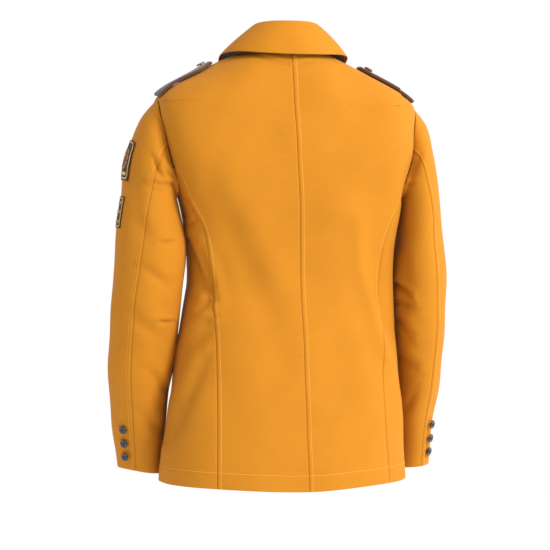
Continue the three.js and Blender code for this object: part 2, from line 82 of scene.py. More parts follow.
# The way the jacket hangs: heights and how far it sways to the wearer's left.
SWAY = [[15, 0], [-69, 0], [-150, -3], [-250, -7], [-430, -7], [-573, -4], [-730, -3]]
RIGHT_SHOULDER_DROP = 0.045  # of the distance from the centre
# The cloth of the body and of each sleeve leans together over the air seen between them.
GAP_HEIGHTS = np.linspace(-690, -250, 45) * MM
BODY_LEAN, SLEEVE_LEAN = 1.42, 0.55  # in half widths of that air
GAP_REACH = 55 * MM
PRINCESS_SEAM = [
    [-170, 203], [-210, 184], [-244, 171], [-275, 158], [-310, 149],
    [-350, 144], [-444, 142], [-626, 148], [-730, 152],
]
# Sleeve rings below the armhole: outer x, outer z, inner x, inner z, centre y, half depth.
SLEEVE_RINGS = {
    1: np.array([
        [247, -100, 194, -232, 1, 64], [267, -148, 193, -239, 4, 67], [280, -202, 190, -251, 8, 67],
        [292, -265, 185, -280, 14, 65], [300, -340, 181, -343, 15, 63], [306, -430, 190, -430, 3, 61],
        [305, -520, 197, -520, -21, 57], [294, -610, 204, -610, -49, 52], [281, -692, 213, -702, -74, 48],
    ]) * MM,
    -1: np.array([
        [242, -100, 194, -232, 0, 64], [250, -148, 195, -239, -2, 67], [257, -202, 195, -251, -5, 67],
        [264, -265, 193, -280, -9, 66], [272, -340, 186, -343, -14, 64], [275, -430, 189, -430, -24, 61],
        [274, -520, 194, -520, -42, 57], [268, -610, 200, -610, -63, 52], [262, -694, 206, -700, -84, 48],
    ]) * MM,
}
LAST_RING = 9
SIDES = {"left": 1, "right": -1}


# ---------- curves and surfaces ----------
def smooth(edge0, edge1, value):
    t = np.clip((value - edge0) / (edge1 - edge0), 0, 1)
    return t * t * (3 - 2 * t)


def profile(rows, height):
    """The columns of a table at some heights, on a smooth curve through its rows (given in mm)."""
    table = np.array(rows, float)
    knots = table[:, 0] * MM
    values = table[:, 1:]
    slopes = np.empty_like(values)
    for k in range(len(table)):
        low, high = min(k + 1, len(table) - 1), max(k - 1, 0)
        slopes[k] = (values[low] - values[high]) / (knots[low] - knots[high])
    height = np.asarray(height, float)
    k = np.clip(np.searchsorted(-knots, -height, side="right") - 1, 0, len(table) - 2)
    span = knots[k + 1] - knots[k]
    t = np.clip((height - knots[k]) / span, 0, 1)[..., None]
    span = span[..., None]
    h00, h10 = 2 * t**3 - 3 * t**2 + 1, t**3 - 2 * t**2 + t
    h01, h11 = 3 * t**2 - 2 * t**3, t**3 - t**2
    return h00 * values[k] + h10 * slopes[k] * span + h01 * values[k + 1] + h11 * slopes[k + 1] * span


def body_radius(angle, height):
    row = profile(BODY_SECTIONS, height)
    width, back, front, power = (row[..., n] for n in range(4))
    width, back, front = width * MM, back * MM, front * MM
    depth = np.where(np.sin(angle) > 0, back, front)
    total = np.abs(np.cos(angle) / width) ** power + np.abs(np.sin(angle) / depth) ** power
    return total ** (-1 / power)


def body_point(angle, height):
    angle, height = np.broadcast_arrays(np.asarray(angle, float), np.asarray(height, float))
    radius = body_radius(angle, height)
    turned = angle + HEM_TWIST * smooth(-150 * MM, HEM_HEIGHT, height)
    rise = (HEM_RISE + HEM_SIDE_RISE * np.cos(angle) ** 2) * (1 - smooth(HEM_HEIGHT, HEM_RISE_TOP, height))
    return np.stack([radius * np.cos(turned), radius * np.sin(turned), height + rise], -1)


def across_of(points):
    """How far points lie to the wearer's left, square to the line of sight."""
    return points[..., 0] * math.cos(COAT_YAW) - points[..., 1] * math.sin(COAT_YAW)


def swayed(points):
    """Where points come to lie as the jacket hangs: it sways, and the right shoulder sits lower."""
    points = np.array(points, float)
    height = points[..., 2]
    drop = RIGHT_SHOULDER_DROP * np.minimum(points[..., 0], 0) * smooth(-260 * MM, -60 * MM, height)
    points[..., 0] += profile(SWAY, height)[..., 0] * MM
    points[..., 2] += drop
    return points


def settled(points):
    """Swayed points, with the cloth of the body and of the sleeves lying against each other."""
    points = swayed(points)
    across, height = across_of(points), points[..., 2]
    shift = np.zeros(across.shape)
    for side, (middles, halves) in SLEEVE_GAPS.items():
        beyond = side * across - np.interp(height, GAP_HEIGHTS, middles)
        half = np.interp(height, GAP_HEIGHTS, halves)
        body = BODY_LEAN * half * (1 - smooth(0, GAP_REACH, -beyond)) * (beyond < 0)
        sleeve = -SLEEVE_LEAN * half * (1 - smooth(0, GAP_REACH, beyond)) * (beyond >= 0)
        shift += side * (body + sleeve)
    leftward = np.array([math.cos(COAT_YAW), -math.sin(COAT_YAW), 0])
    return points + leftward * shift[..., None]


def find_angle(height, start, stop, value, part):
    """The angle between start and stop where part(angle) * radius reaches a value, by bisection."""
    height = np.asarray(height, float)
    value = np.broadcast_to(np.asarray(value, float), height.shape)
    low, high = np.full(height.shape, float(start)), np.full(height.shape, float(stop))
    rising = part(high) * body_radius(high, height) > part(low) * body_radius(low, height)
    for _ in range(34):
        middle = (low + high) / 2
        above = part(middle) * body_radius(middle, height) > value
        high = np.where(above == rising, middle, high)
        low = np.where(above == rising, low, middle)
    return (low + high) / 2


def angle_at_back_x(height, x):
    return find_angle(height, 0, math.pi, x, np.cos)


def angle_at_front_x(height, x):
    return find_angle(height, -math.pi, 0, x, np.cos)


def angle_at_side_y(height, y):
    return find_angle(height, -math.pi / 2, math.pi / 2, y, np.sin)


def armhole_depth(share):
    width = (1 - np.minimum(1, np.abs(share)) ** ARMHOLE_SQUARENESS) ** (1 / ARMHOLE_SQUARENESS)
    return ARMHOLE_HALF_DEPTH * (1 - ARMHOLE_SKEW * share) * width


def armhole_edge(height, sign):
    return angle_at_side_y(height, sign * armhole_depth((height - ARMHOLE_HEIGHT) / ARMHOLE_HALF_HEIGHT))


def side_edge(height):
    return angle_at_side_y(height, SIDE_SEAM_DEPTH * smooth(UNDERARM_HEIGHT, CHEST_CUT, height))


def princess_edge(height):
    return angle_at_back_x(height, profile(PRINCESS_SEAM, height)[..., 0] * MM)


def front_edge_x(height):
    return -FRONT_OVERLAP + 92 * MM * smooth(LAPEL_BREAK - 10 * MM, NECKLINE_HEIGHT, height)


def front_edge(height):
    return angle_at_front_x(height, front_edge_x(height))


def back_outer(height):
    return np.where(height > PRINCESS_TOP, armhole_edge(height, 1), princess_edge(height))


def side_back_outer(height):
    return np.where(height >= UNDERARM_HEIGHT, armhole_edge(height, 1), side_edge(height))


def chest_outer(height):
    return np.where(height >= UNDERARM_HEIGHT, armhole_edge(height, -1), side_edge(height))


def front_lift(side, angle, height):
    """How far the left front stands outside the plain surface, to clear the right one."""
    if side < 0:
        return np.zeros(np.shape(angle))
    x = body_radius(angle, height) * np.cos(angle)
    return FRONT_LIFT * (1 - smooth(35 * MM, 120 * MM, x))


def armhole_point(phi):
    height = ARMHOLE_HEIGHT + ARMHOLE_HALF_HEIGHT * np.cos(phi)
    depth = armhole_depth(np.cos(phi)) * np.sign(np.sin(phi))
    angle = angle_at_side_y(height, depth)
    return np.stack([body_radius(angle, height) * np.cos(angle) + 1.2 * MM, depth, height], -1)


def ring_points(side, phi):
    """The points of every ring of a sleeve at angles phi, with x outward, from the armhole to the cuff."""
    rings = [armhole_point(phi)]
    share = (1 + np.cos(phi)) / 2
    for outer, outer_z, inner, inner_z, y, half_depth in SLEEVE_RINGS[side]:
        rings.append(np.stack([
            inner + (outer - inner) * share,
            y + half_depth * np.sin(phi),
            inner_z + (outer_z - inner_z) * share,
        ], -1))
    return np.array(rings)


def sleeve_point(side, s, phi):
    s, phi = np.broadcast_arrays(np.asarray(s, float), np.asarray(phi, float))
    flat_s, flat_phi = s.ravel(), phi.ravel()
    rings = ring_points(side, flat_phi)
    k = np.clip(np.floor(flat_s).astype(int), 0, LAST_RING - 1)
    t = (flat_s - k)[:, None]
    pick = np.arange(len(flat_s))
    before, a, b, after = (rings[np.clip(k + n, 0, LAST_RING), pick] for n in (-1, 0, 1, 2))
    point = (
        before * (-t + 2 * t**2 - t**3) + a * (2 - 5 * t**2 + 3 * t**3)
        + b * (t + 4 * t**2 - 3 * t**3) + after * (t**3 - t**2)
    ) / 2
    point[:, 0] *= side
    return point.reshape(*s.shape, 3)


def sleeve_gap(side):
    """The air seen between the body and a sleeve: its middle and half width at each of GAP_HEIGHTS."""
    turns = np.linspace(0, 2 * math.pi, 181)
    rings, around = np.meshgrid(np.linspace(1, LAST_RING, 161), turns)
    sleeve = swayed(sleeve_point(side, rings, around)).reshape(-1, 3)
    middles, halves = [], []
    for height in GAP_HEIGHTS:
        near = sleeve[abs(sleeve[:, 2] - height) < 5 * MM]
        body = swayed(body_point(turns, np.full(turns.shape, height)))
        inner = (side * across_of(near)).min() - CLOTH / 2
        outer = (side * across_of(body)).max() + CLOTH / 2
        middles.append((inner + outer) / 2)
        halves.append(max(inner - outer, 0) / 2)
    return np.array(middles), np.array(halves)


SLEEVE_GAPS = {side: sleeve_gap(side) for side in SIDES.values()}


# ---------- folds ----------
# Places across the jacket are given as the camera sees them, in mm: `across` runs to the wearer's
# left, square to the line of sight, and the second number is the height.
TO_CAMERA = np.array([math.sin(COAT_YAW), math.cos(COAT_YAW), 0])


FOLD_STRENGTH = 1.6

# Each fold: its line, half width, depth of the valley (negative for a ridge), height of the lip
# on one side of it.
BODY_FOLDS = [
    # broad soft folds of the back
    ([(92, -190), (40, -300), (-25, -430)], 30, -3.2, 0),
    ([(125, -205), (95, -280), (40, -400), (0, -500)], 24, 2.6, 0),
    ([(-120, -270), (-126, -350), (-146, -420), (-168, -500)], 15, -3.4, 0),
    ([(-160, -330), (-162, -400), (-176, -470)], 11, 3.0, 0),
    ([(-60, -150), (-70, -260), (-62, -380)], 34, -1.6, 0),
    ([(30, -90), (12, -170), (10, -260)], 26, 1.3, 0),
    ([(-146, -405), (-196, -575)], 12, -2.6, 0),
    # drag lines that run from the left armhole into the side panel
    ([(164, -234), (146, -266)], 4, 2.0, 1.2),
    ([(160, -278), (146, -264)], 3, 1.6, 0.8),
    ([(139, -318), (124, -372), (119, -400)], 7, 5.0, 3.0),
    ([(162, -304), (146, -356), (132, -384)], 8, 5.0, 4.0),
    ([(139, -416), (124, -400)], 6, 3.0, 2.0),
    ([(146, -446), (117, -430)], 7, 3.2, 2.2),
    ([(160, -480), (122, -452)], 9, 3.0, 2.4),
    ([(196, -640), (160, -560), (134, -500)], 10, 3.6, 2.4),
    # small creases under the collar
    ([(46, 3), (8, -4), (-3, -9)], 3, 1.3, 0.8),
    ([(-17, -9), (-46, -4)], 3, 1.2, 0.7),
    ([(86, 12), (40, 8)], 3, 1.2, 0.8),
]
SLEEVE_FOLDS = {
    "left": [
        ([(231, -80), (202, -72)], 4, 1.6, 1.0),
        ([(217, -167), (211, -184), (199, -201)], 4.5, 4.0, 2.6),
        ([(204, -178), (191, -195)], 3.5, 2.8, 1.8),
        ([(222, -206), (205, -210), (184, -207)], 4, 3.6, 2.6),
        ([(232, -212), (200, -222)], 5, 2.2, 1.4),
        ([(207, -306), (183, -303)], 3.4, 3.0, 1.8),
        ([(250, -262), (222, -300)], 14, 2.4, 0),
        ([(232, -350), (196, -375)], 9, 2.4, 1.2),
        ([(210, -437), (184, -439)], 3.4, 3.0, 1.8),
        ([(262, -420), (205, -470)], 12, 2.2, 1.0),
        ([(228, -520), (196, -560)], 8, 2.4, 1.2),
        ([(244, -590), (212, -625)], 9, 2.0, 1.0),
        ([(258, -150), (244, -250), (246, -340)], 16, 1.8, 0),
    ],
    "right": [
        ([(-178, -369), (-211, -398)], 5, 4.2, 2.4),
        ([(-184, -408), (-214, -416)], 6, 3.2, 1.6),
        ([(-186, -432), (-212, -465)], 7, 3.2, 1.8),
        ([(-192, -500), (-220, -520)], 8, 2.6, 1.4),
        ([(-196, -300), (-204, -380), (-200, -440)], 12, 3.0, 0),
        ([(-232, -150), (-212, -190)], 9, 2.2, 1.2),
        ([(-204, -210), (-216, -206)], 3.5, 2.0, 1.2),
        ([(-226, -560), (-206, -600)], 8, 2.0, 1.0),
    ],
}


def fold_offset(points, normals, folds):
    """How far each point that faces the camera moves along its normal: valleys in, lips out."""
    across, height = across_of(points) / MM, points[..., 2] / MM
    total = np.zeros(across.shape)
    for line, width, depth, lip in folds:
        nearest = np.full(across.shape, 1e9)
        signed = np.zeros(across.shape)
        along = np.zeros(across.shape)
        lengths = [math.dist(a, b) for a, b in zip(line, line[1:])]
        done = 0.0
        for (ax, az), (bx, bz), length in zip(line, line[1:], lengths):
            ux, uz = (bx - ax) / length, (bz - az) / length
            t = np.clip((across - ax) * ux + (height - az) * uz, 0, length)
            dx, dz = across - ax - t * ux, height - az - t * uz
            distance = np.hypot(dx, dz)
            closer = distance < nearest
            nearest = np.where(closer, distance, nearest)
            signed = np.where(closer, np.where(dx * uz - dz * ux > 0, distance, -distance), signed)
            along = np.where(closer, (done + t) / sum(lengths), along)
            done += length
        taper = 0.25 + 0.75 * np.sin(np.pi * np.clip(along, 0.04, 0.96)) ** 0.7
        valley = np.exp(-((nearest / width) ** 2))
        crest = np.exp(-(((signed - 1.9 * width) / (1.3 * width)) ** 2))
        total += taper * (lip * crest - depth * valley)
    return FOLD_STRENGTH * total * MM * smooth(-0.1, 0.3, normals @ TO_CAMERA)


def gentle_waves(points):
    """The low unevenness of worn cloth: a few fixed waves through space, alike on both sides of a seam."""
    random = np.random.default_rng(5)
    total = np.zeros(points.shape[:-1])
    for _ in range(16):
        length = random.uniform(45, 130) * MM
        direction = random.normal(size=3) * (1, 1, 0.55)
        direction /= np.linalg.norm(direction)
        total += np.sin(points @ direction * 2 * math.pi / length + random.uniform(0, 6.28)) * length
    return total * 0.0042


# ---------- meshes ----------
EDGE_STEPS = np.array([0, 0.35, 0.9, 1.6, 2.8, 4.4, 5.8, 6.6, 7.4, 8.4, 11]) * MM
EDGE_RADIUS = 0.9 * MM


def unit(vectors):
    return vectors / np.maximum(np.linalg.norm(vectors, axis=-1, keepdims=True), 1e-12)


def grid_normals(grid, facing=1):
    """Normals of a grid of points: rows x columns, times facing."""
    return unit(np.cross(np.gradient(grid, axis=0), np.gradient(grid, axis=1))) * facing


def arc_lengths(grid, axis):
    step = np.linalg.norm(np.diff(grid, axis=axis), axis=-1)
    start = np.zeros([1 if n == axis else size for n, size in enumerate(step.shape)])
    return np.concatenate([start, np.cumsum(step, axis=axis)], axis=axis)


def spaced(length, step=3.6 * MM, steps=EDGE_STEPS):
    """Places from 0 to 1 along a length: close together at both ends, even between them."""
    steps = steps[steps < length * 0.4]
    room = length - 2 * steps[-1]
    inner = np.linspace(steps[-1], length - steps[-1], max(2, math.ceil(room / step)))
    return np.concatenate([steps[:-1], inner, length - steps[-2::-1]]) / length


def new_object(name, points, faces, material, uv=None, hangs=True):
    """A mesh object; one that hangs with the jacket has its points moved to where they settle."""
    mesh = bpy.data.meshes.new(name)
    points = settled(points) if hangs else np.array(points, float)
    mesh.from_pydata(points.tolist(), [], faces)
    if uv is not None:
        layer = mesh.uv_layers.new(name="cloth")
        corner = np.empty(len(mesh.loops), np.int32)
        mesh.loops.foreach_get("vertex_index", corner)
        layer.data.foreach_set("uv", np.asarray(uv, np.float32)[corner].ravel())
    mesh.polygons.foreach_set("use_smooth", np.ones(len(mesh.polygons), bool))
    mesh.materials.append(material)
    mesh.update()
    obj = bpy.data.objects.new(name, mesh)
    bpy.context.collection.objects.link(obj)
    return obj


def mark_sharp(mesh, lines):
    """Keeps the shading of a sheet from running over its square edges."""
    ends = np.empty(2 * len(mesh.edges), np.int32)
    mesh.edges.foreach_get("vertices", ends)
    ends = ends.reshape(-1, 2)
    sharp = np.zeros(len(ends), bool)
    for line in lines:
        sharp |= np.isin(ends, line).all(axis=1)
    mesh.attributes.new("sharp_edge", "BOOLEAN", "EDGE").data.foreach_set("value", sharp)


def strip(a, b, flip):
    """Faces between two rows of vertex numbers."""
    quads = zip(a, b, b[1:], a[1:])
    return [quad[::-1] if flip else quad for quad in quads]


class Sheet:
    """A grid of points with normals that becomes a closed sheet of cloth."""

    def __init__(self, grid, facing=1, normals=None):
        self.grid = grid
        self.facing = facing
        self.normals = grid_normals(grid, facing) if normals is None else normals
        self.across = arc_lengths(grid, 1)
        self.down = arc_lengths(grid, 0)
        self.uv = np.stack([self.across, self.down], -1)

    def edge_distance(self, edge):
        if edge == "start":
            return self.across
        if edge == "end":
            return self.across[:, -1:] - self.across
        if edge == "top":
            return self.down
        return self.down[-1:] - self.down

    def move(self, amount):
        """Moves every point along its normal."""
        self.grid = self.grid + self.normals * np.asarray(amount)[..., None]

    def settle(self):
        """Takes the normals again, once the folds are in."""
        self.normals = grid_normals(self.grid, self.facing)

    def area(self):
        grid = self.grid
        sides = [
            (grid[1:, :-1] - grid[:-1, :-1], grid[:-1, 1:] - grid[:-1, :-1]),
            (grid[1:, :-1] - grid[1:, 1:], grid[:-1, 1:] - grid[1:, 1:]),
        ]
        return float(sum(np.linalg.norm(np.cross(a, b), axis=-1).sum() for a, b in sides)) / 2

    def flat(self):
        return float(self.across[:, -1].max()), float(self.down[-1].max())

    def make(self, name, material, thickness=CLOTH, square_edges=(), radius=EDGE_RADIUS):
        """The mesh: both faces and the rims, rounded over except at the square edges."""
        rows, columns = self.grid.shape[:2]
        half = np.full((rows, columns), thickness / 2)
        for edge in ("start", "end", "top", "bottom"):
            if edge not in square_edges:
                near = np.clip(self.edge_distance(edge) / radius, 0, 1)
                half = np.minimum(half, thickness / 2 * (0.15 + 0.85 * np.sqrt(1 - (1 - near) ** 2)))
        outer = (self.grid + self.normals * half[..., None]).reshape(-1, 3)
        inner = (self.grid - self.normals * half[..., None]).reshape(-1, 3)
        count = rows * columns
        number = np.arange(count).reshape(rows, columns)
        flip = self.facing < 0
        faces = []
        for i in range(rows - 1):
            a, b = number[i].tolist(), number[i + 1].tolist()
            faces += strip(a, b, flip)
            faces += strip([n + count for n in a], [n + count for n in b], not flip)
        rims = {"top": (number[0], True), "bottom": (number[-1], False),
                "start": (number[:, 0], False), "end": (number[:, -1], True)}
        for line, turn in rims.values():
            faces += strip(line.tolist(), (line + count).tolist(), flip != turn)
        uv = self.uv.reshape(-1, 2)
        obj = new_object(name, np.concatenate([outer, inner]), faces, material, np.concatenate([uv, uv]))
        if square_edges:
            mark_sharp(obj.data, [rims[edge][0] + face for edge in square_edges for face in (0, count)])
        return obj

    def line_at(self, edge, distance, lift=0.0):
        """A line on the outer face at a distance from one edge: points and normals."""
        outer = self.grid + self.normals * lift
        places = self.edge_distance(edge)
        swap = edge in ("top", "bottom")
        points, normals = [], []
        lines = places.T if swap else places
        for n, line in enumerate(lines):
            at = np.argmax(line >= distance) if line[-1] > line[0] else np.argmax(line < distance)
            low = max(at - 1, 0)
            share = np.clip((distance - line[low]) / (line[at] - line[low] + 1e-15), 0, 1)
            pick = (lambda array, k: array[k, n]) if swap else (lambda array, k: array[n, k])
            points.append(pick(outer, low) * (1 - share) + pick(outer, at) * share)
            normals.append(pick(self.normals, low) * (1 - share) + pick(self.normals, at) * share)
        return np.array(points), unit(np.array(normals))


def seam_relief(distance, stitched):
    """The cloth's shape beside a seam: tucked in at the seam, padded up to the topstitching."""
    distance = distance / MM
    tuck = -0.9 * np.exp(-((distance / 1.4) ** 2))
    if not stitched:
        return tuck * MM
    pad = 0.5 * smooth(0.4, 2.0, distance) * (1 - smooth(6.0, 8.0, distance))
    valley = -0.4 * np.exp(-(((distance - TOPSTITCH / MM) / 0.9) ** 2))
    return (tuck + pad + valley) * MM


# ---------- stitches ----------
STITCH = 2.9 * MM
STITCH_GAP = 0.8 * MM
THREAD = 0.3 * MM
TOPSTITCH = 6.6 * MM
HEM_STITCH = 27 * MM


def resample(points, normals, spacing):
    step = np.linalg.norm(np.diff(points, axis=0), axis=1)
    run = np.concatenate([[0], np.cumsum(step)])
    places = np.arange(spacing / 2, run[-1], spacing)

    def at(values, where):
        return np.stack([np.interp(where, run, values[:, n]) for n in range(3)], -1)

    return at, places, points, normals


def stitch_object(name, lines, material, stitch=STITCH, gap=STITCH_GAP, radius=THREAD):
    """Stitches along lines of (points, normals): short rounded bars of thread, half sunk in the cloth."""
    all_points, faces = [], []
    around = np.linspace(0, 2 * math.pi, 6, endpoint=False)
    profile_along = [(-0.5, 0.25), (-0.36, 0.85), (0, 1.0), (0.36, 0.85), (0.5, 0.25)]
    for points, normals in lines:
        at, places, points, normals = resample(points, normals, stitch + gap)
        centre, normal = at(points, places), unit(at(normals, places))
        ahead = unit(at(points, places + stitch / 2) - at(points, places - stitch / 2))
        side = unit(np.cross(ahead, normal))
        for c, n, a, s in zip(centre, normal, ahead, side):
            first = len(all_points)
            for share, wide in profile_along:
                middle = c + a * share * stitch + n * radius * (0.75 * wide - 0.35)
                for turn in around:
                    outward = s * math.cos(turn) + n * math.sin(turn) * 0.8
                    all_points.append(middle + outward * radius * wide)
            for i in range(4):
                for j in range(6):
                    k = (j + 1) % 6
                    near, far = first + 6 * i, first + 6 * i + 6
                    faces.append((near + j, near + k, far + k, far + j))
            faces.append(tuple(first + j for j in range(5, -1, -1)))
            faces.append(tuple(first + 24 + j for j in range(6)))
    return new_object(name, all_points, faces, material)


# ---------- materials ----------
def srgb(red, green, blue):
    """A colour given as 0-255 sRGB values, as Blender wants it."""
    def linear(value):
        value /= 255
        return value / 12.92 if value <= 0.04045 else ((value + 0.055) / 1.055) ** 2.4
    return linear(red), linear(green), linear(blue), 1


def new_material(name, color, roughness=0.8, sheen=0.0, coat=0.0, ior=1.5):
    material = bpy.data.materials.new(name)
    material.use_nodes = True
    shader = material.node_tree.nodes["Principled BSDF"]
    shader.inputs["Base Color"].default_value = color
    shader.inputs["Roughness"].default_value = roughness
    shader.inputs["Sheen Weight"].default_value = sheen
    shader.inputs["Sheen Roughness"].default_value = 0.5
    shader.inputs["Coat Weight"].default_value = coat
    shader.inputs["IOR"].default_value = ior
    return material


class Nodes:
    """Short forms for building a material's node tree."""

    def __init__(self, material):
        self.tree = material.node_tree
        self.shader = self.tree.nodes["Principled BSDF"]

    def node(self, kind, **settings):
        made = self.tree.nodes.new(kind)
        for key, value in settings.items():
            setattr(made, key, value)
        return made

    def link(self, source, target):
        self.tree.links.new(source, target)

    def scaled(self, scale, rotation=0.0, source="UV"):
        """Texture coordinates times a scale, turned about z."""
        coordinates = self.node("ShaderNodeTexCoord")
        mapping = self.node("ShaderNodeMapping")
        mapping.inputs["Scale"].default_value = scale
        mapping.inputs["Rotation"].default_value = (0, 0, rotation)
        self.link(coordinates.outputs[source], mapping.inputs["Vector"])
        return mapping.outputs["Vector"]

    def noise(self, vector, scale=1.0, detail=2.0):
        made = self.node("ShaderNodeTexNoise")
        made.inputs["Scale"].default_value = scale
        made.inputs["Detail"].default_value = detail
        self.link(vector, made.inputs["Vector"])
        return made.outputs["Fac"]

    def ribs(self, vector, direction="X"):
        """Rounded ribs, one per 0.628 of the coordinate divided by its scale."""
        made = self.node("ShaderNodeTexWave", wave_type="BANDS", bands_direction=direction)
        made.inputs["Scale"].default_value = 1.0
        self.link(vector, made.inputs["Vector"])
        return made.outputs["Fac"]

    def math(self, operation, a, b):
        made = self.node("ShaderNodeMath", operation=operation)
        for socket, value in zip(made.inputs, (a, b)):
            if isinstance(value, (int, float)):
                socket.default_value = value
            else:
                self.link(value, socket)
        return made.outputs[0]

    def ramp(self, factor, stops):
        made = self.node("ShaderNodeValToRGB")
        elements = made.color_ramp.elements
        for element, (place, color) in zip(elements, stops):
            element.position, element.color = place, color
        for place, color in stops[2:]:
            elements.new(place).color = color
        self.link(factor, made.inputs["Fac"])
        return made.outputs["Color"]

    def bump(self, height, distance, strength=1.0):
        made = self.node("ShaderNodeBump")
        made.inputs["Distance"].default_value = distance
        made.inputs["Strength"].default_value = strength
        self.link(height, made.inputs["Height"])
        self.link(made.outputs["Normal"], self.shader.inputs["Normal"])

    def color(self, output):
        self.link(output, self.shader.inputs["Base Color"])


WAVE = 0.6283  # the wave texture's own period


def shade(color, factor):
    return tuple(channel * factor for channel in color[:3]) + (1,)


TWILL_IOR = 1.22  # cloth hardly mirrors its surroundings


def twill_material(name, color, roughness=0.8, sheen=0.02, rib=0.95 * MM):
    """Cotton twill: fine slanting ribs, threads that vary a little along the weft."""
    material = new_material(name, color, roughness, sheen, ior=TWILL_IOR)
    nodes = Nodes(material)
    ribs = nodes.ribs(nodes.scaled((WAVE / rib, WAVE / rib, 1), math.radians(58)))
    threads = nodes.noise(nodes.scaled((90, 2600, 1)), 1.0, 2)
    slubs = nodes.noise(nodes.scaled((26, 520, 1)), 1.0, 3)
    wear = nodes.noise(nodes.scaled((14, 14, 14), source="Object"), 1.0, 3)
    mixed = nodes.math("ADD", nodes.math("MULTIPLY", slubs, 0.6), nodes.math("MULTIPLY", wear, 0.4))
    nodes.color(nodes.ramp(mixed, [(0.3, shade(color, 0.93)), (0.7, shade(color, 1.06))]))
    height = nodes.math("ADD", nodes.math("MULTIPLY", ribs, 0.7), nodes.math("MULTIPLY", threads, 0.5))
    nodes.bump(height, 0.12 * MM, 0.55)
    return material


def felt_material(name, color):
    material = new_material(name, color, 0.95, 0.25)
    nodes = Nodes(material)
    fibres = nodes.noise(nodes.scaled((900, 900, 900), source="Object"), 1.0, 4)
    nodes.bump(fibres, 0.25 * MM, 0.6)
    return material


MUSTARD = srgb(179, 114, 24)
TWILL = twill_material("twill", MUSTARD)
UNDER_COLLAR = felt_material("under_collar", srgb(26, 30, 44))
LINING = twill_material("lining", srgb(28, 33, 52), 0.42, 0.05, 0.6 * MM)
PADDING = felt_material("padding", srgb(150, 150, 145))
CORDUROY = felt_material("corduroy", srgb(80, 50, 32))
THREAD_GOLD = new_material("thread", srgb(236, 168, 74), 0.6)
THREAD_RED = new_material("buttonhole_thread", srgb(205, 44, 30), 0.6)
THREAD_NAVY = new_material("button_thread", srgb(30, 32, 42), 0.6)
BUTTON = new_material("button", srgb(24, 26, 32), 0.22, coat=0.4)
HORN = new_material("strap_button", srgb(132, 92, 52), 0.35, coat=0.3)
PATCH_BROWN = twill_material("patch_brown", srgb(62, 38, 22), 0.85, 0.1)
PATCH_CREAM = new_material("patch_cream", srgb(214, 184, 132), 0.75)
PATCH_GOLD = new_material("patch_gold", srgb(196, 140, 60), 0.7)
LABEL = twill_material("label", srgb(196, 178, 140), 0.7, 0.0, 0.5 * MM)


# ---------- the body's sheets ----------
CENTRE_BACK = math.pi / 2
BODY_STEP = 3.4 * MM


def body_normals(angle, height):
    step = 0.2 * MM
    round_the_body = body_point(angle + 1e-3, height) - body_point(angle - 1e-3, height)
    up = body_point(angle, height + step) - body_point(angle, height - step)
    return unit(np.cross(round_the_body, up))


def rows_between(top, bottom, angle, step):
    """Heights of rows that lie evenly along the cloth, closer at the top and bottom edges."""
    fine = np.linspace(top, bottom, 600)
    points = body_point(angle, fine)
    run = np.concatenate([[0], np.cumsum(np.linalg.norm(np.diff(points, axis=0), axis=1))])
    return np.interp(spaced(run[-1], step) * run[-1], run, fine)


def body_sheet(side, top, bottom, near, far, width, offset=0.0, lifted=False, step=BODY_STEP, folded=True):
    """A sheet on the body between two edges, each a function of height that gives an angle on the left.
    Columns run to the wearer's right round the back, so that the right side is the mirror image."""
    row_angle = math.radians(50) if top > PRINCESS_TOP else math.radians(20)
    heights = rows_between(top, bottom, row_angle, step)
    share = spaced(width, step)
    first, last = near(heights)[:, None], far(heights)[:, None]
    angle = first + (last - first) * share if side > 0 else math.pi - (last + (first - last) * share)
    height = np.broadcast_to(heights[:, None], angle.shape)
    base = body_point(angle, height)
    normals = body_normals(angle, height)
    sheet = Sheet(base, 1, normals)
    lift = np.full(angle.shape, float(offset))
    if lifted:
        lift = lift + front_lift(side, angle, height)
    lift += gentle_waves(base)
    if folded:
        lift += fold_offset(settled(base), normals, BODY_FOLDS)
    sheet.move(lift)
    sheet.settle()
    return sheet


def edges_of(side):
    """Names of the sheet's edges at the near and far end of a patch."""
    return ("start", "end") if side > 0 else ("end", "start")


def hem_relief(distance):
    distance = distance / MM
    fold = 0.3 * (1 - smooth(25.5, 28.5, distance))
    stitch_valley = 0.4 * np.exp(-(((distance - HEM_STITCH / MM) / 1.1) ** 2))
    return (fold - stitch_valley) * MM


def flat_declare(obj, sheet, with_pieces=()):
    width, length = sheet.flat()
    min(sheet.area(), width * length)
    list(with_pieces)


def front_blend(obj):
    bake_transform(obj)


def constant(edge, distance):
    """An edge moved by a distance along the surface."""
    return lambda height: edge(height) + distance / body_radius(edge(height), height)


def centre_back(height):
    return np.full(np.shape(height), CENTRE_BACK)


def stitched_below(height_limit, heights, stitched, plain):
    share = smooth(height_limit + 8 * MM, height_limit - 8 * MM, heights)
    return plain + (stitched - plain) * share


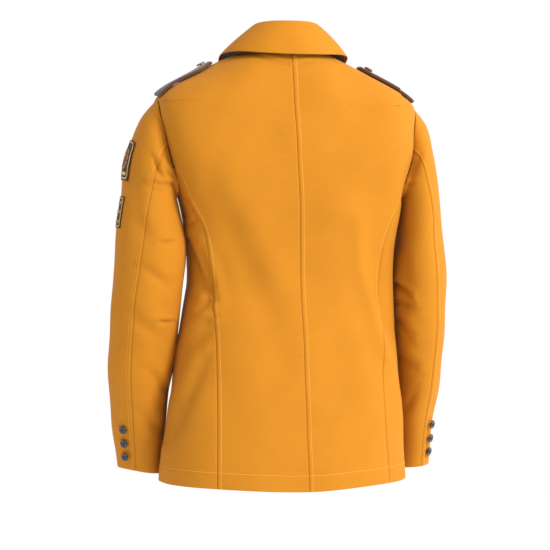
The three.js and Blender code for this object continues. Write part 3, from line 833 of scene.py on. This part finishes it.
for side_name, side in SIDES.items():
    near, far = edges_of(side)

    # back panel: from the armhole and princess seam to the centre back
    back = body_sheet(side, NECKLINE_HEIGHT, HEM_HEIGHT, back_outer, centre_back, 200 * MM)
    outer_distance = back.edge_distance(near)
    centre_distance = back.edge_distance(far)
    heights = back.grid[..., 2]
    stitched, plain = seam_relief(outer_distance, True), seam_relief(outer_distance, False)
    relief = stitched_below(PRINCESS_TOP, heights, stitched, plain)
    relief += seam_relief(centre_distance, side < 0) + hem_relief(back.edge_distance("bottom"))
    back.move(relief)
    back.settle()
    back_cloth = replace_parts(back.make(f"back_cloth_{side_name}", TWILL), f"back_panel_{side_name}")

    side_back = body_sheet(side, PRINCESS_TOP - 3 * MM, HEM_HEIGHT, side_back_outer, princess_edge, 70 * MM)
    side_back.move(
        seam_relief(side_back.edge_distance(near), False) + seam_relief(side_back.edge_distance(far), False)
        + hem_relief(side_back.edge_distance("bottom"))
    )
    side_back.settle()
    side_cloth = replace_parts(side_back.make(f"side_back_cloth_{side_name}", TWILL), f"side_back_{side_name}")

    # topstitching: one row beside the centre back and the princess seam, one above the hem
    points, normals = back.line_at(near, TOPSTITCH, CLOTH / 2)
    below = points[:, 2] < PRINCESS_TOP
    back_lines = [(points[below], normals[below]), back.line_at("bottom", HEM_STITCH, CLOTH / 2)]
    if side < 0:
        back_lines.append(back.line_at(far, TOPSTITCH, CLOTH / 2))
    back_lines.append(side_back.line_at("bottom", HEM_STITCH, CLOTH / 2))
    back_thread = stitch_object(f"back_thread_{side_name}", back_lines, THREAD_GOLD)

    # front: chest and front panel in one cloth
    front = body_sheet(side, NECKLINE_HEIGHT, HEM_HEIGHT, front_edge, chest_outer, 235 * MM, lifted=True)
    front.move(
        seam_relief(front.edge_distance(far), False) + hem_relief(front.edge_distance("bottom"))
    )
    front.settle()
    front_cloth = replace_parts(front.make(f"front_cloth_{side_name}", TWILL),
                              f"chest_{side_name}", f"front_panel_{side_name}")
    points, normals = front.line_at(near, TOPSTITCH, CLOTH / 2)
    below = points[:, 2] < LAPEL_BREAK
    front_lines = [(points[below], normals[below]), front.line_at("bottom", HEM_STITCH, CLOTH / 2)]
    front_thread = stitch_object(f"front_thread_{side_name}", front_lines, THREAD_GOLD)

    def lapel_far(height):
        width = 10 * MM + 72 * MM * smooth(LAPEL_BREAK, -95 * MM, height)
        return angle_at_front_x(height, front_edge_x(height) + width)

    lapel = body_sheet(side, -70 * MM, -226 * MM, constant(front_edge, 1 * MM), lapel_far, 60 * MM,
                       offset=2.9 * MM, lifted=True)
    lapel_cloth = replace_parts(lapel.make(f"lapel_cloth_{side_name}", TWILL, 1.9 * MM), f"lapel_{side_name}")
    lapel_lines = [lapel.line_at(far, TOPSTITCH, 0.95 * MM)]
    lapel_thread = stitch_object(f"lapel_thread_{side_name}", lapel_lines, THREAD_GOLD)

    def facing_far(height):
        return angle_at_front_x(height, front_edge_x(height) + 78 * MM)

    facing = body_sheet(side, -300 * MM, -650 * MM, constant(front_edge, 2 * MM), facing_far, 75 * MM,
                        offset=-2.4 * MM, lifted=True, step=9 * MM)
    facing_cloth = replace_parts(facing.make(f"facing_cloth_{side_name}", TWILL, 1.2 * MM),
                               f"facing_{side_name}")

    # each lining: its top and bottom, its two edges, its width and its offset
    linings = {
        "front_lining": (-300, -690, constant(facing_far, 2 * MM), constant(side_edge, -4 * MM), 150, -6.2),
        "chest_lining": (-95, -262, facing_far, constant(chest_outer, -4 * MM), 130, -9.6),
        "back_lining": (-95, -690, constant(side_back_outer, 2 * MM), constant(centre_back, -1 * MM),
                        240, -6.2),
    }
    for name, (top, bottom, low, high, width, offset) in linings.items():
        lining = body_sheet(side, top * MM, bottom * MM, low, high, width * MM, offset=offset * MM,
                            step=10 * MM)
        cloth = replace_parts(lining.make(f"{name}_cloth_{side_name}", LINING, 0.8 * MM), f"{name}_{side_name}")
        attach(cloth, f"front_{side_name}" if name == "front_lining" else "torso")
        flat_declare(cloth, lining)

    pad = body_sheet(side, -20 * MM, -52 * MM, lambda h: angle_at_side_y(h, -34 * MM),
                     lambda h: angle_at_side_y(h, 34 * MM), 68 * MM, offset=-10.5 * MM,
                     step=6 * MM, folded=False)
    pad_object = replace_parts(pad.make(f"pad_{side_name}", PADDING, 9 * MM, radius=7 * MM),
                             f"shoulder_pad_{side_name}")
    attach(pad_object, "torso")

    for cloth in (back_cloth, side_cloth, back_thread):
        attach(cloth, "torso")
    for cloth in (front_cloth, front_thread, lapel_cloth, lapel_thread):
        front_blend(cloth)
    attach(facing_cloth, f"front_{side_name}")
    flat_declare(back_cloth, back, with_pieces=[back_thread])
    flat_declare(side_cloth, side_back)
    flat_declare(front_cloth, front, with_pieces=[front_thread])
    flat_declare(lapel_cloth, lapel, with_pieces=[lapel_thread])

    # patch pocket and its flap
    for name, (near_x, far_x, top, bottom), offset, body in (
        ("pocket", POCKET_BOX, 3.5 * MM, f"front_{side_name}"),
        ("pocket_flap", FLAP_BOX, 6.6 * MM, f"flap_{side_name}"),
    ):
        piece = body_sheet(side, top * MM, bottom * MM,
                           lambda h, x=near_x: angle_at_front_x(h, x * MM),
                           lambda h, x=far_x: angle_at_front_x(h, x * MM),
                           (far_x - near_x) * MM, offset=offset, lifted=True)
        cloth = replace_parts(piece.make(f"{name}_cloth_{side_name}", TWILL, 1.9 * MM), f"{name}_{side_name}")
        lines = [piece.line_at(edge, TOPSTITCH, 0.95 * MM) for edge in ("start", "end", "bottom")]
        thread = stitch_object(f"{name}_thread_{side_name}", lines, THREAD_GOLD)
        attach(cloth, body)
        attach(thread, body)
        flat_declare(cloth, piece, with_pieces=[thread])

welt = body_sheet(1, -196 * MM, -216 * MM, lambda h: angle_at_front_x(h, 88 * MM),
                  lambda h: angle_at_front_x(h, 172 * MM), 84 * MM, offset=3.3 * MM)
welt_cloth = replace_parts(welt.make("welt_cloth", TWILL, 1.6 * MM), "breast_welt")
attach(welt_cloth, "torso")


# ---------- collar ----------
COLLAR_FOLD = [(0, 60, 64), (33, 50, 64), (55, 18, 60), (58, -18, 42), (56, -56, 10), (56, -90, -30)]
COLLAR_EDGE = [
    (0, 82, 8), (46, 74, 10), (88, 46, 13), (107, 4, 11), (107, -42, -3), (98, -86, -30), (93, -112, -56),
]
STAND_FOOT = [(0, 62, 18.5), (40, 49, 18.5), (62, 16, 18.5), (62, -14, 18.5)]
STAND_TOP = [(0, 56, 60), (31, 46.5, 60), (51, 17, 56), (53, -14, 42)]
COLLAR_BULGE = 4 * MM


def round_the_neck(half_points, t):
    """A centripetal curve through points and their mirror image; 0 is the wearer's right end."""
    half_line = np.array(half_points, float) * MM
    points = np.concatenate([half_line[:0:-1] * (-1, 1, 1), half_line])
    padded = np.concatenate([[2 * points[0] - points[1]], points, [2 * points[-1] - points[-2]]])
    place = np.clip(t, 0, 1) * (len(points) - 1)
    k = np.minimum(place.astype(int), len(points) - 2)
    w = (place - k)[..., None]
    p0, p1, p2, p3 = (padded[k + n] for n in range(4))
    spans = ((p0, p1), (p1, p2), (p2, p3))
    d0, d1, d2 = (np.sqrt(np.linalg.norm(b - a, axis=-1, keepdims=True)) for a, b in spans)
    m1 = ((p1 - p0) / d0 - (p2 - p0) / (d0 + d1) + (p2 - p1) / d1) * d1
    m2 = ((p2 - p1) / d1 - (p3 - p1) / (d1 + d2) + (p3 - p2) / d2) * d1
    return (
        p1 + m1 * w + (-3 * p1 + 3 * p2 - 2 * m1 - m2) * w**2 + (2 * p1 - 2 * p2 + m1 + m2) * w**3
    )


def neck_sheet(upper, lower, bulge, rows, columns, offset=0.0):
    """A ruled sheet between two curves round the neck, from the wearer's left end to the right one."""
    u, v = np.meshgrid(rows, columns, indexing="ij")
    high, low = round_the_neck(upper, 1 - v), round_the_neck(lower, 1 - v)
    outward = unit(np.stack([
        high[..., 0] + low[..., 0], high[..., 1] + low[..., 1], np.full(u.shape, 40 * MM),
    ], -1))
    lift = bulge * np.maximum(np.sin(np.pi * u), 0) ** 0.8
    grid = high + (low - high) * u[..., None] + outward * lift[..., None]
    sheet = Sheet(grid)
    sheet.move(np.full(u.shape, offset))
    return sheet


fall = neck_sheet(COLLAR_FOLD, COLLAR_EDGE, COLLAR_BULGE, spaced(62 * MM, 2.6 * MM), spaced(460 * MM, 3 * MM),
                  offset=0.9 * MM)
fall.move(gentle_waves(fall.grid) * 0.5)
fall.settle()
fall_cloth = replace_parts(fall.make("fall_cloth", TWILL, 2.0 * MM), "collar_fall")
under = neck_sheet(COLLAR_FOLD, COLLAR_EDGE, COLLAR_BULGE, 0.06 + 0.9 * spaced(58 * MM, 4 * MM),
                   0.02 + 0.96 * spaced(440 * MM, 4 * MM), offset=-2.2 * MM)
under_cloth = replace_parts(under.make("under_collar_felt", UNDER_COLLAR, 1.5 * MM), "under_collar")
stand = neck_sheet(STAND_TOP, STAND_FOOT, 0, spaced(44 * MM, 4 * MM), spaced(240 * MM, 4 * MM), offset=1 * MM)
stand_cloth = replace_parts(stand.make("stand_cloth", TWILL, 2.0 * MM), "collar_stand")
for cloth, slot, sheet in (
    (fall_cloth, "twill", fall), (under_cloth, "under_collar", under), (stand_cloth, "twill", stand),
):
    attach(cloth, "torso")
    flat_declare(cloth, sheet)


# ---------- sleeves ----------
CROSSOVER = 5  # the ring at the elbow where the upper stretch of the sleeve meets the lower one
SLEEVE_STEP = 3.6 * MM


def hind_seam(s):
    return np.radians(88 - 22 * smooth(1, 6, s) + 8 * smooth(6, 9, s))


FORE_SEAM = math.radians(-115)


def sleeve_normals(side, s, phi):
    below, above = np.minimum(s + 0.01, LAST_RING), np.maximum(s - 0.01, 0)
    ahead = sleeve_point(side, below, phi) - sleeve_point(side, above, phi)
    around = sleeve_point(side, s, phi + 0.01) - sleeve_point(side, s, phi - 0.01)
    return unit(np.cross(ahead, around)) * side


def sleeve_sheet(side_name, s_values, start_phi, end_phi, columns, offset=0.0, folded=True):
    side = SIDES[side_name]
    s = np.broadcast_to(s_values[:, None], (len(s_values), len(columns)))
    first, last = start_phi(s_values)[:, None], end_phi(s_values)[:, None]
    phi = first + (last - first) * columns
    base = sleeve_point(side, s, phi)
    normals = sleeve_normals(side, s, phi)
    sheet = Sheet(base, side, normals)
    lift = np.full(s.shape, float(offset)) + gentle_waves(base) * smooth(0, 0.6, s)
    if folded:
        lift += fold_offset(settled(base), normals, SLEEVE_FOLDS[side_name])
    sheet.move(lift)
    sheet.settle()
    return sheet


def rings_between(side, start, end, steps_top, steps_bottom, step=SLEEVE_STEP):
    """Values of s for rows that lie evenly along the sleeve's outer side."""
    fine = np.linspace(start, end, 400)
    points = sleeve_point(side, fine, np.full(fine.shape, math.pi / 2))
    run = np.concatenate([[0], np.cumsum(np.linalg.norm(np.diff(points, axis=0), axis=1))])
    total = run[-1]
    inner = np.linspace(steps_top[-1], total - steps_bottom[-1], math.ceil(total / step))
    places = np.concatenate([steps_top[:-1], inner, total - steps_bottom[-2::-1]])
    return np.interp(places, run, fine)


BUTT = np.array([0, 1.0, 3.0]) * MM
SHOULDER_DIRECTION = np.array([0.643, 0, -0.766])

for side_name, side in SIDES.items():
    columns = spaced(200 * MM, SLEEVE_STEP)
    stretches = {
        "upper": (rings_between(side, 0, CROSSOVER, EDGE_STEPS, BUTT), ("bottom",)),
        "lower": (rings_between(side, CROSSOVER, LAST_RING, BUTT, EDGE_STEPS), ("top",)),
    }
    mirror = np.array([side, 1, 1])
    for part, (s_values, square_edges) in stretches.items():
        halves = {
            "top": (lambda s: np.full(s.shape, FORE_SEAM), hind_seam),
            "under": (hind_seam, lambda s: np.full(s.shape, FORE_SEAM + 2 * math.pi)),
        }
        for half_name, (start_phi, end_phi) in halves.items():
            sheet = sleeve_sheet(side_name, s_values, start_phi, end_phi, columns)
            relief = seam_relief(sheet.edge_distance("start"), False) + seam_relief(
                sheet.edge_distance("end"), half_name == "top"
            )
            if part == "upper":
                relief += seam_relief(sheet.edge_distance("top"), False)
            else:
                relief += 0.25 * MM * (1 - smooth(24 * MM, 26 * MM, sheet.edge_distance("bottom")))
            sheet.move(relief)
            sheet.settle()
            cloth = sheet.make(f"{half_name}_sleeve_{part}_cloth_{side_name}", TWILL,
                               square_edges=square_edges)
            names = [f"{half_name}_sleeve_{part}_{side_name}"]
            if half_name == "top":
                names.append(f"sleeve_head_{side_name}" if part == "upper" else f"sleeve_elbow_{side_name}")
            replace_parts(cloth, *names)
            made = [cloth]
            if half_name == "top":
                lines = [sheet.line_at("end", TOPSTITCH, CLOTH / 2)]
                made.append(stitch_object(f"sleeve_thread_{part}_{side_name}", lines, THREAD_GOLD))
            for piece in made:
                if part == "upper":
                    settled(0.29 * SHOULDER_DIRECTION * mirror)
                    settled(0.382 * SHOULDER_DIRECTION * mirror)
                    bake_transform(piece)
                else:
                    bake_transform(piece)
            flat_declare(cloth, sheet, with_pieces=made[1:])

    inside = sleeve_sheet(side_name, np.linspace(7, LAST_RING - 0.25, 26), lambda s: np.zeros(s.shape),
                          lambda s: np.full(s.shape, 2 * math.pi), np.linspace(0, 1, 60), offset=-4.6 * MM)
    inside_cloth = inside.make(f"sleeve_lining_cloth_{side_name}", LINING, 0.8 * MM,
                               square_edges=("start", "end"))
    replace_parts(inside_cloth, f"sleeve_lining_{side_name}")
    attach(inside_cloth, f"sleeve_lower_{side_name}")


# ---------- shoulder straps ----------
STRAP_TOP, STRAP_BOTTOM = -8 * MM, -62 * MM
STRAP_LIFT, STRAP_THICKNESS = 2.2 * MM, 6.5 * MM
WALE = 2.6 * MM


def strap_half_width(height):
    return 7 * MM + 17 * MM * smooth(-3 * MM, -22 * MM, height)


for side_name, side in SIDES.items():
    strap = body_sheet(side, STRAP_TOP, STRAP_BOTTOM, lambda h: angle_at_side_y(h, -strap_half_width(h)),
                       lambda h: angle_at_side_y(h, strap_half_width(h)), 48 * MM,
                       offset=STRAP_LIFT + STRAP_THICKNESS / 2, step=0.55 * MM, folded=False)
    wales = 0.35 * MM * np.abs(np.sin(np.pi * strap.grid[..., 1] / WALE)) - 0.2 * MM
    thickness = STRAP_THICKNESS - 0.6 * MM
    strap.grid = strap.grid + strap.normals * (wales - 0.1 * MM)[..., None]
    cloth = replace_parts(strap.make(f"strap_cloth_{side_name}", CORDUROY, thickness, radius=3 * MM),
                        f"epaulette_{side_name}")
    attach(cloth, f"shoulder_strap_{side_name}")


# ---------- buttons ----------
def lathe(outline, segments=48):
    """Points and faces of a closed solid turned about z from (radius, height) points, axis to axis."""
    points, faces = [(0, 0, outline[0][1])], []
    for radius, height in outline:
        for n in range(segments):
            turn = 2 * math.pi * n / segments
            points.append((radius * math.cos(turn), radius * math.sin(turn), height))
    points.append((0, 0, outline[-1][1]))
    last = len(points) - 1
    for n in range(segments):
        m = (n + 1) % segments
        faces.append((0, 1 + m, 1 + n))
        for k in range(len(outline) - 1):
            a, b = 1 + k * segments, 1 + (k + 1) * segments
            faces.append((a + n, a + m, b + m, b + n))
        faces.append((last, last - segments + n, last - segments + m))
    return points, faces


def button_mesh(radius, thickness, material):
    """A button with a rolled rim, a dished face and four holes through it."""
    rim, r, t = 0.62 * radius, radius, thickness
    outline = [
        (0.5 * r, 0), (0.86 * r, 0), (0.96 * r, 0.12 * t), (r, 0.4 * t), (0.985 * r, 0.72 * t),
        (0.93 * r, 0.94 * t), (0.85 * r, t), (0.76 * r, 0.95 * t), (rim + 0.04 * r, 0.72 * t),
        (rim - 0.05 * r, 0.6 * t), (0.4 * r, 0.58 * t), (0.12 * r, 0.6 * t),
    ]
    disc = new_object("button_disc", *lathe(outline), material, hangs=False)
    drill_points, drill_faces = [], []
    for k in range(4):
        turn = (k + 0.5) * math.pi / 2
        hole, centre = 0.115 * r, 0.27 * r
        points, faces = lathe([(hole, -t), (hole, 2 * t)], 16)
        first = len(drill_points)
        drill_points += [(x + centre * math.cos(turn), y + centre * math.sin(turn), z) for x, y, z in points]
        drill_faces += [tuple(first + n for n in face) for face in faces]
    drill = new_object("drill", drill_points, drill_faces, material, hangs=False)
    cut = disc.modifiers.new("holes", "BOOLEAN")
    cut.operation, cut.object, cut.solver = "DIFFERENCE", drill, "EXACT"
    bpy.context.view_layer.update()
    mesh = bpy.data.meshes.new_from_object(disc.evaluated_get(bpy.context.evaluated_depsgraph_get()))
    bpy.data.objects.remove(disc)
    bpy.data.objects.remove(drill)
    mesh.set_sharp_from_angle(angle=math.radians(50))
    return mesh


def bar_between(a, b, radius, sides=8):
    """A round bar of thread from a to b."""
    a, b = np.array(a, float), np.array(b, float)
    along = unit(b - a)
    side = unit(np.cross(along, (0.31, 0.17, 0.93)))
    up = np.cross(side, along)
    points, faces = [], []
    for centre in (a, b):
        for n in range(sides):
            turn = 2 * math.pi * n / sides
            points.append(centre + (side * math.cos(turn) + up * math.sin(turn)) * radius)
    for n in range(sides):
        m = (n + 1) % sides
        faces.append((n, m, sides + m, sides + n))
    faces += [tuple(range(sides - 1, -1, -1)), tuple(range(sides, 2 * sides))]
    return points, faces


def joined(parts):
    points, faces = [], []
    for some_points, some_faces in parts:
        first = len(points)
        points += list(some_points)
        faces += [tuple(first + n for n in face) for face in some_faces]
    return points, faces


def button_thread(radius, thickness, lift):
    """Two crossed threads over the holes, and the shank of thread under the button."""
    reach, face = 0.27 * radius / math.sqrt(2), 0.6 * thickness
    parts = []
    for sign in (1, -1):
        a, b = (-reach, -sign * reach, face + 0.35 * MM), (reach, sign * reach, face + 0.35 * MM)
        parts.append(bar_between(a, b, 0.42 * MM))
        parts.append(bar_between(a, (a[0], a[1], -0.1 * MM), 0.4 * MM))
        parts.append(bar_between(b, (b[0], b[1], -0.1 * MM), 0.4 * MM))
    parts.append(bar_between((0, 0, -lift), (0, 0, 0.4 * MM), 1.7 * MM, 14))
    return joined(parts)


def frame_at(point, normal, up):
    """A matrix whose z is the normal and whose y is as near to up as it can be."""
    z = unit(np.array(normal, float))
    x = unit(np.cross(np.array(up, float), z))
    y = np.cross(z, x)
    matrix = Matrix.Identity(4)
    for n, axis in enumerate((x, y, z)):
        for m in range(3):
            matrix[m][n] = axis[m]
    matrix.translation = Vector(point)
    return matrix


def place_button(name, mesh, point, normal, lift, radius, thickness, body, turn):
    obj = bpy.data.objects.new(f"{name}_disc", mesh)
    bpy.context.collection.objects.link(obj)
    obj.matrix_world = frame_at(settled(point + normal * lift), normal, (math.sin(turn) * 0.6, 0.1, 1))
    thread = new_object(f"{name}_thread", *button_thread(radius, thickness, lift - 0.4 * MM), THREAD_NAVY,
                        hangs=False)
    thread.matrix_world = obj.matrix_world.copy()
    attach(obj, body)
    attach(thread, body)
    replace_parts(obj, name)
    return obj


CUFF_MESH = button_mesh(7.5 * MM, 3.2 * MM, BUTTON)
FRONT_MESH = button_mesh(11 * MM, 3.6 * MM, BUTTON)
STRAP_MESH = button_mesh(7.5 * MM, 3.2 * MM, HORN)
CUFF_RINGS = (8.13, 8.38, 8.63)
CUFF_PHI = math.radians(50)

for side_name, side in SIDES.items():
    holes = []
    for k, s in enumerate(CUFF_RINGS, 1):
        point = sleeve_point(side, s, CUFF_PHI)
        normal = sleeve_normals(side, np.array([s]), np.array([CUFF_PHI]))[0]
        place_button(f"cuff_button_{k}_{side_name}", CUFF_MESH, point, normal, 2.9 * MM, 7.5 * MM, 3.2 * MM,
                     f"sleeve_lower_{side_name}", 0.5 * k + side)
        turns = CUFF_PHI - np.radians(np.linspace(6.5, 17.5, 12))
        rows = np.full(turns.shape, s - 0.05)
        base = sleeve_point(side, rows, turns)
        normals = sleeve_normals(side, rows, turns)
        base = base + normals * (CLOTH / 2 + gentle_waves(base) + 0.25 * MM)[:, None]
        holes.append((base, normals))
    buttonholes = stitch_object(f"buttonholes_{side_name}", holes, THREAD_RED, 1.1 * MM, -0.35 * MM,
                                0.72 * MM)
    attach(buttonholes, f"sleeve_lower_{side_name}")
    angle = 0.0 if side > 0 else math.pi
    place_button(f"epaulette_button_{side_name}", STRAP_MESH, body_point(angle, -15 * MM),
                 body_normals(np.array([angle]), np.array([-15 * MM]))[0], 9.5 * MM, 7.5 * MM, 3.2 * MM,
                 f"shoulder_strap_{side_name}", 0.4)

for k, height in enumerate((-318 * MM, -400 * MM, -482 * MM), 1):
    angle = angle_at_front_x(height, 0.0)
    normal = body_normals(np.array([angle]), np.array([height]))[0]
    place_button(f"front_button_{k}", FRONT_MESH, body_point(angle, height), normal, FRONT_LIFT + 2.4 * MM,
                 11 * MM, 3.6 * MM, "front_left", 0.3)


# ---------- badges on the left sleeve ----------
SLEEVE_RADIUS_MM = 66


class BadgeSurface:
    """Points over the sleeve from places in mm: across (to the back) and down from the badge's middle."""

    def __init__(self, s_from, s_to, lift):
        middle = (s_from + s_to) / 2
        fine = np.linspace(s_from - 0.2, s_to + 0.2, 200)
        line = sleeve_point(1, fine, np.zeros(fine.shape))
        run = np.concatenate([[0], np.cumsum(np.linalg.norm(np.diff(line, axis=0), axis=1))])
        self.fine, self.run = fine, run - np.interp(middle, fine, run)
        self.lift = lift

    def at(self, across, down):
        across, down = np.broadcast_arrays(np.asarray(across, float), np.asarray(down, float))
        s = np.interp(down * MM, self.run, self.fine)
        phi = across / SLEEVE_RADIUS_MM
        base = sleeve_point(1, s, phi)
        normals = sleeve_normals(1, s, phi)
        return base + normals * (self.lift + gentle_waves(base))[..., None], normals


def satin_bars(surface, places, directions, lengths, radius=0.42 * MM):
    """Bars of thread laid side by side: each has a place, a direction and a length, all in mm."""
    parts = []
    for (x, y), (dx, dy), length in zip(places, directions, lengths):
        share = np.array([-0.5, -0.3, 0, 0.3, 0.5])
        points, normals = surface.at(x + dx * length * share, y + dy * length * share)
        height = np.array([-0.3, 0.1, 0.35, 0.1, -0.3]) * MM
        points = points + normals * height[:, None]
        for a, b in zip(points, points[1:]):
            parts.append(bar_between(a, b, radius, 5))
    return joined(parts)


def outline_bars(surface, corners, width, spacing=0.75):
    """Satin stitch along a closed line through corner points."""
    places, directions, lengths = [], [], []
    closed = list(corners) + [corners[0]]
    for (ax, ay), (bx, by) in zip(closed, closed[1:]):
        length = math.dist((ax, ay), (bx, by))
        for n in range(max(1, round(length / spacing))):
            t = (n + 0.5) / max(1, round(length / spacing))
            places.append((ax + (bx - ax) * t, ay + (by - ay) * t))
            directions.append(((by - ay) / length, -(bx - ax) / length))
            lengths.append(width)
    return satin_bars(surface, places, directions, lengths)


def filled_bars(surface, inside, box, spacing=0.85, longest=5.0):
    """Rows of thread that fill the places where inside(x, y) holds."""
    x0, x1, y0, y1 = box
    places, directions, lengths = [], [], []
    for row, y in enumerate(np.arange(y0, y1, spacing)):
        xs = np.linspace(x0, x1, 160)
        hits = np.array([inside(x, y) for x in xs])
        edges = np.flatnonzero(np.diff(np.concatenate([[0], hits.astype(int), [0]])))
        for a, b in zip(edges[::2], edges[1::2]):
            start, end = xs[a], xs[b - 1]
            if end - start < 0.8:
                continue
            count = max(1, math.ceil((end - start) / longest))
            size = (end - start) / count
            for n in range(count):
                places.append((start + size * (n + 0.5), y))
                directions.append((1, 0.05 * (-1) ** row))
                lengths.append(size)
    return satin_bars(surface, places, directions, lengths, 0.5 * MM)


def rounded_box(half_width, half_height, corner, steps=5):
    points = []
    for cx, cy, start in (
        (half_width - corner, half_height - corner, 0), (-half_width + corner, half_height - corner, 90),
        (-half_width + corner, -half_height + corner, 180), (half_width - corner, -half_height + corner, 270),
    ):
        for n in range(steps + 1):
            turn = math.radians(start + 90 * n / steps)
            points.append((cx + corner * math.cos(turn), cy + corner * math.sin(turn)))
    return points


def star(x, y, centre, radius, points=5):
    dx, dy = x - centre[0], y - centre[1]
    turn = (math.atan2(dx, -dy) % (2 * math.pi / points)) - math.pi / points
    limit = radius * (0.42 + 0.58 * (abs(turn) / (math.pi / points)) ** 1.6)
    return math.hypot(dx, dy) < limit


def badge(name, s_from, s_to, half_turn, motifs):
    surface = BadgeSurface(s_from, s_to, CLOTH / 2 + 0.7 * MM)
    half_width = math.radians(half_turn) * SLEEVE_RADIUS_MM
    half_height = float(surface.run[-1] - surface.run[0]) / 2 / MM - 14
    length = half_height * 2 * MM
    rows, columns = spaced(length, 3 * MM), spaced(half_width * 2 * MM, 3 * MM)
    x = (columns * 2 - 1) * half_width
    y = (rows * 2 - 1) * half_height
    grid, normals = surface.at(*np.meshgrid(x, y))
    sheet = Sheet(grid, 1, normals)
    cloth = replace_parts(sheet.make(f"{name}_cloth", PATCH_BROWN, 1.5 * MM), name)
    raised = BadgeSurface(s_from, s_to, CLOTH / 2 + 1.5 * MM)
    pieces = [cloth]
    for number, (material, bars) in enumerate(motifs(raised, half_width, half_height)):
        points, faces = joined(bars)
        pieces.append(new_object(f"{name}_embroidery_{number}", points, faces, material))
    for piece in pieces:
        settled(0.29 * SHOULDER_DIRECTION)
        settled(0.382 * SHOULDER_DIRECTION)
        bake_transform(piece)


def upper_motifs(surface, half_width, half_height):
    cream = [outline_bars(surface, rounded_box(half_width - 3.2, half_height - 3.2, 7), 1.7)]
    cream.append(filled_bars(
        surface,
        lambda x, y: abs(y - half_height + 11) < 2.6 and abs(x) < half_width - 9,
        (-half_width, half_width, half_height - 15, half_height - 7),
    ))
    gold = [
        filled_bars(surface, lambda x, y: star(x, y, (0, -5), 13), (-16, 16, -20, 12)),
    ]
    for sign in (-1, 1):
        for k in range(5):
            turn = math.radians(-35 + 32 * k)
            cx, cy = sign * 18.5 * math.cos(turn), -4 + 19 * math.sin(turn)
            gold.append(filled_bars(
                surface,
                lambda x, y, cx=cx, cy=cy, turn=turn, sign=sign: (
                    (((x - cx) * math.sin(turn) * sign - (y - cy) * math.cos(turn)) / 4.6) ** 2
                    + (((x - cx) * math.cos(turn) * sign + (y - cy) * math.sin(turn)) / 2.2) ** 2 < 1
                ),
                (cx - 6, cx + 6, cy - 6, cy + 6),
            ))
    return [(PATCH_CREAM, cream), (PATCH_GOLD, gold)]


def lower_motifs(surface, half_width, half_height):
    cream = [outline_bars(surface, rounded_box(half_width - 3, half_height - 3, 3), 1.6)]
    gold = [
        filled_bars(surface, lambda x, y, row=row: abs(y - row) < 2.4 and abs(x) < half_width - 7,
                    (-half_width, half_width, row - 3, row + 3))
        for row in (-half_height + 11, 0, half_height - 11)
    ]
    return [(PATCH_CREAM, cream), (PATCH_GOLD, gold)]


badge("badge_upper", 1.72, 3.05, 27, upper_motifs)
badge("badge_lower", 3.45, 4.25, 24, lower_motifs)


# ---------- hanger loop and neck label: the CAD's own meshes ----------
for node, material in (("hanger_loop", LINING), ("neck_label", LABEL)):
    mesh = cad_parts[node].data
    mesh.materials.clear()
    mesh.materials.append(material)


# ---------- camera, stage and light ----------
CAMERA_DISTANCE = 4.0
CAMERA_HEIGHT = -0.25
AIM_HEIGHT = -0.362
AIM_ACROSS = 0.017
PICTURE_WIDTH = 0.935  # how much the camera sees at the jacket
toward = Vector((math.sin(COAT_YAW), math.cos(COAT_YAW), 0))
leftward = Vector((math.cos(COAT_YAW), -math.sin(COAT_YAW), 0))
aim = leftward * AIM_ACROSS + Vector((0, 0, AIM_HEIGHT))

camera_data = bpy.data.cameras.new("camera")
camera_data.sensor_width = 36
camera_data.lens = 36 * CAMERA_DISTANCE / PICTURE_WIDTH
camera = bpy.data.objects.new("camera", camera_data)
bpy.context.collection.objects.link(camera)
camera.location = aim + toward * CAMERA_DISTANCE + Vector((0, 0, CAMERA_HEIGHT - AIM_HEIGHT))
camera.rotation_euler = (aim - camera.location).to_track_quat("-Z", "Y").to_euler()
bpy.context.scene.camera = camera

WHITE = new_material("white_paper", (1, 1, 1, 1), 1.0)
floor_points = [(-6, -6, -1.5), (6, -6, -1.5), (6, 6, -1.5), (-6, 6, -1.5)]
floor = new_object("floor", floor_points, [(0, 1, 2, 3)], WHITE, hangs=False)

world = bpy.data.worlds.new("white")
world.use_nodes = True
world.node_tree.nodes["Background"].inputs["Color"].default_value = (1, 1, 1, 1)
world.node_tree.nodes["Background"].inputs["Strength"].default_value = 1.0
bpy.context.scene.world = world


def softbox(name, across, back, height, width, power, aim_height=-0.3):
    """A square soft light, placed as the camera sees the jacket: across to its left, back towards it."""
    data = bpy.data.lights.new(name, "AREA")
    data.shape, data.size, data.energy = "SQUARE", width, power
    light = bpy.data.objects.new(name, data)
    bpy.context.collection.objects.link(light)
    light.location = leftward * across + toward * back + Vector((0, 0, height))
    target = Vector((0, 0, aim_height))
    light.rotation_euler = (target - light.location).to_track_quat("-Z", "Y").to_euler()


softbox("key", -2.4, 1.9, 1.6, 1.1, 142)
softbox("rim", -2.6, -0.6, 0.3, 1.0, 22)
bpy.context.scene.view_settings.view_transform = "Standard"
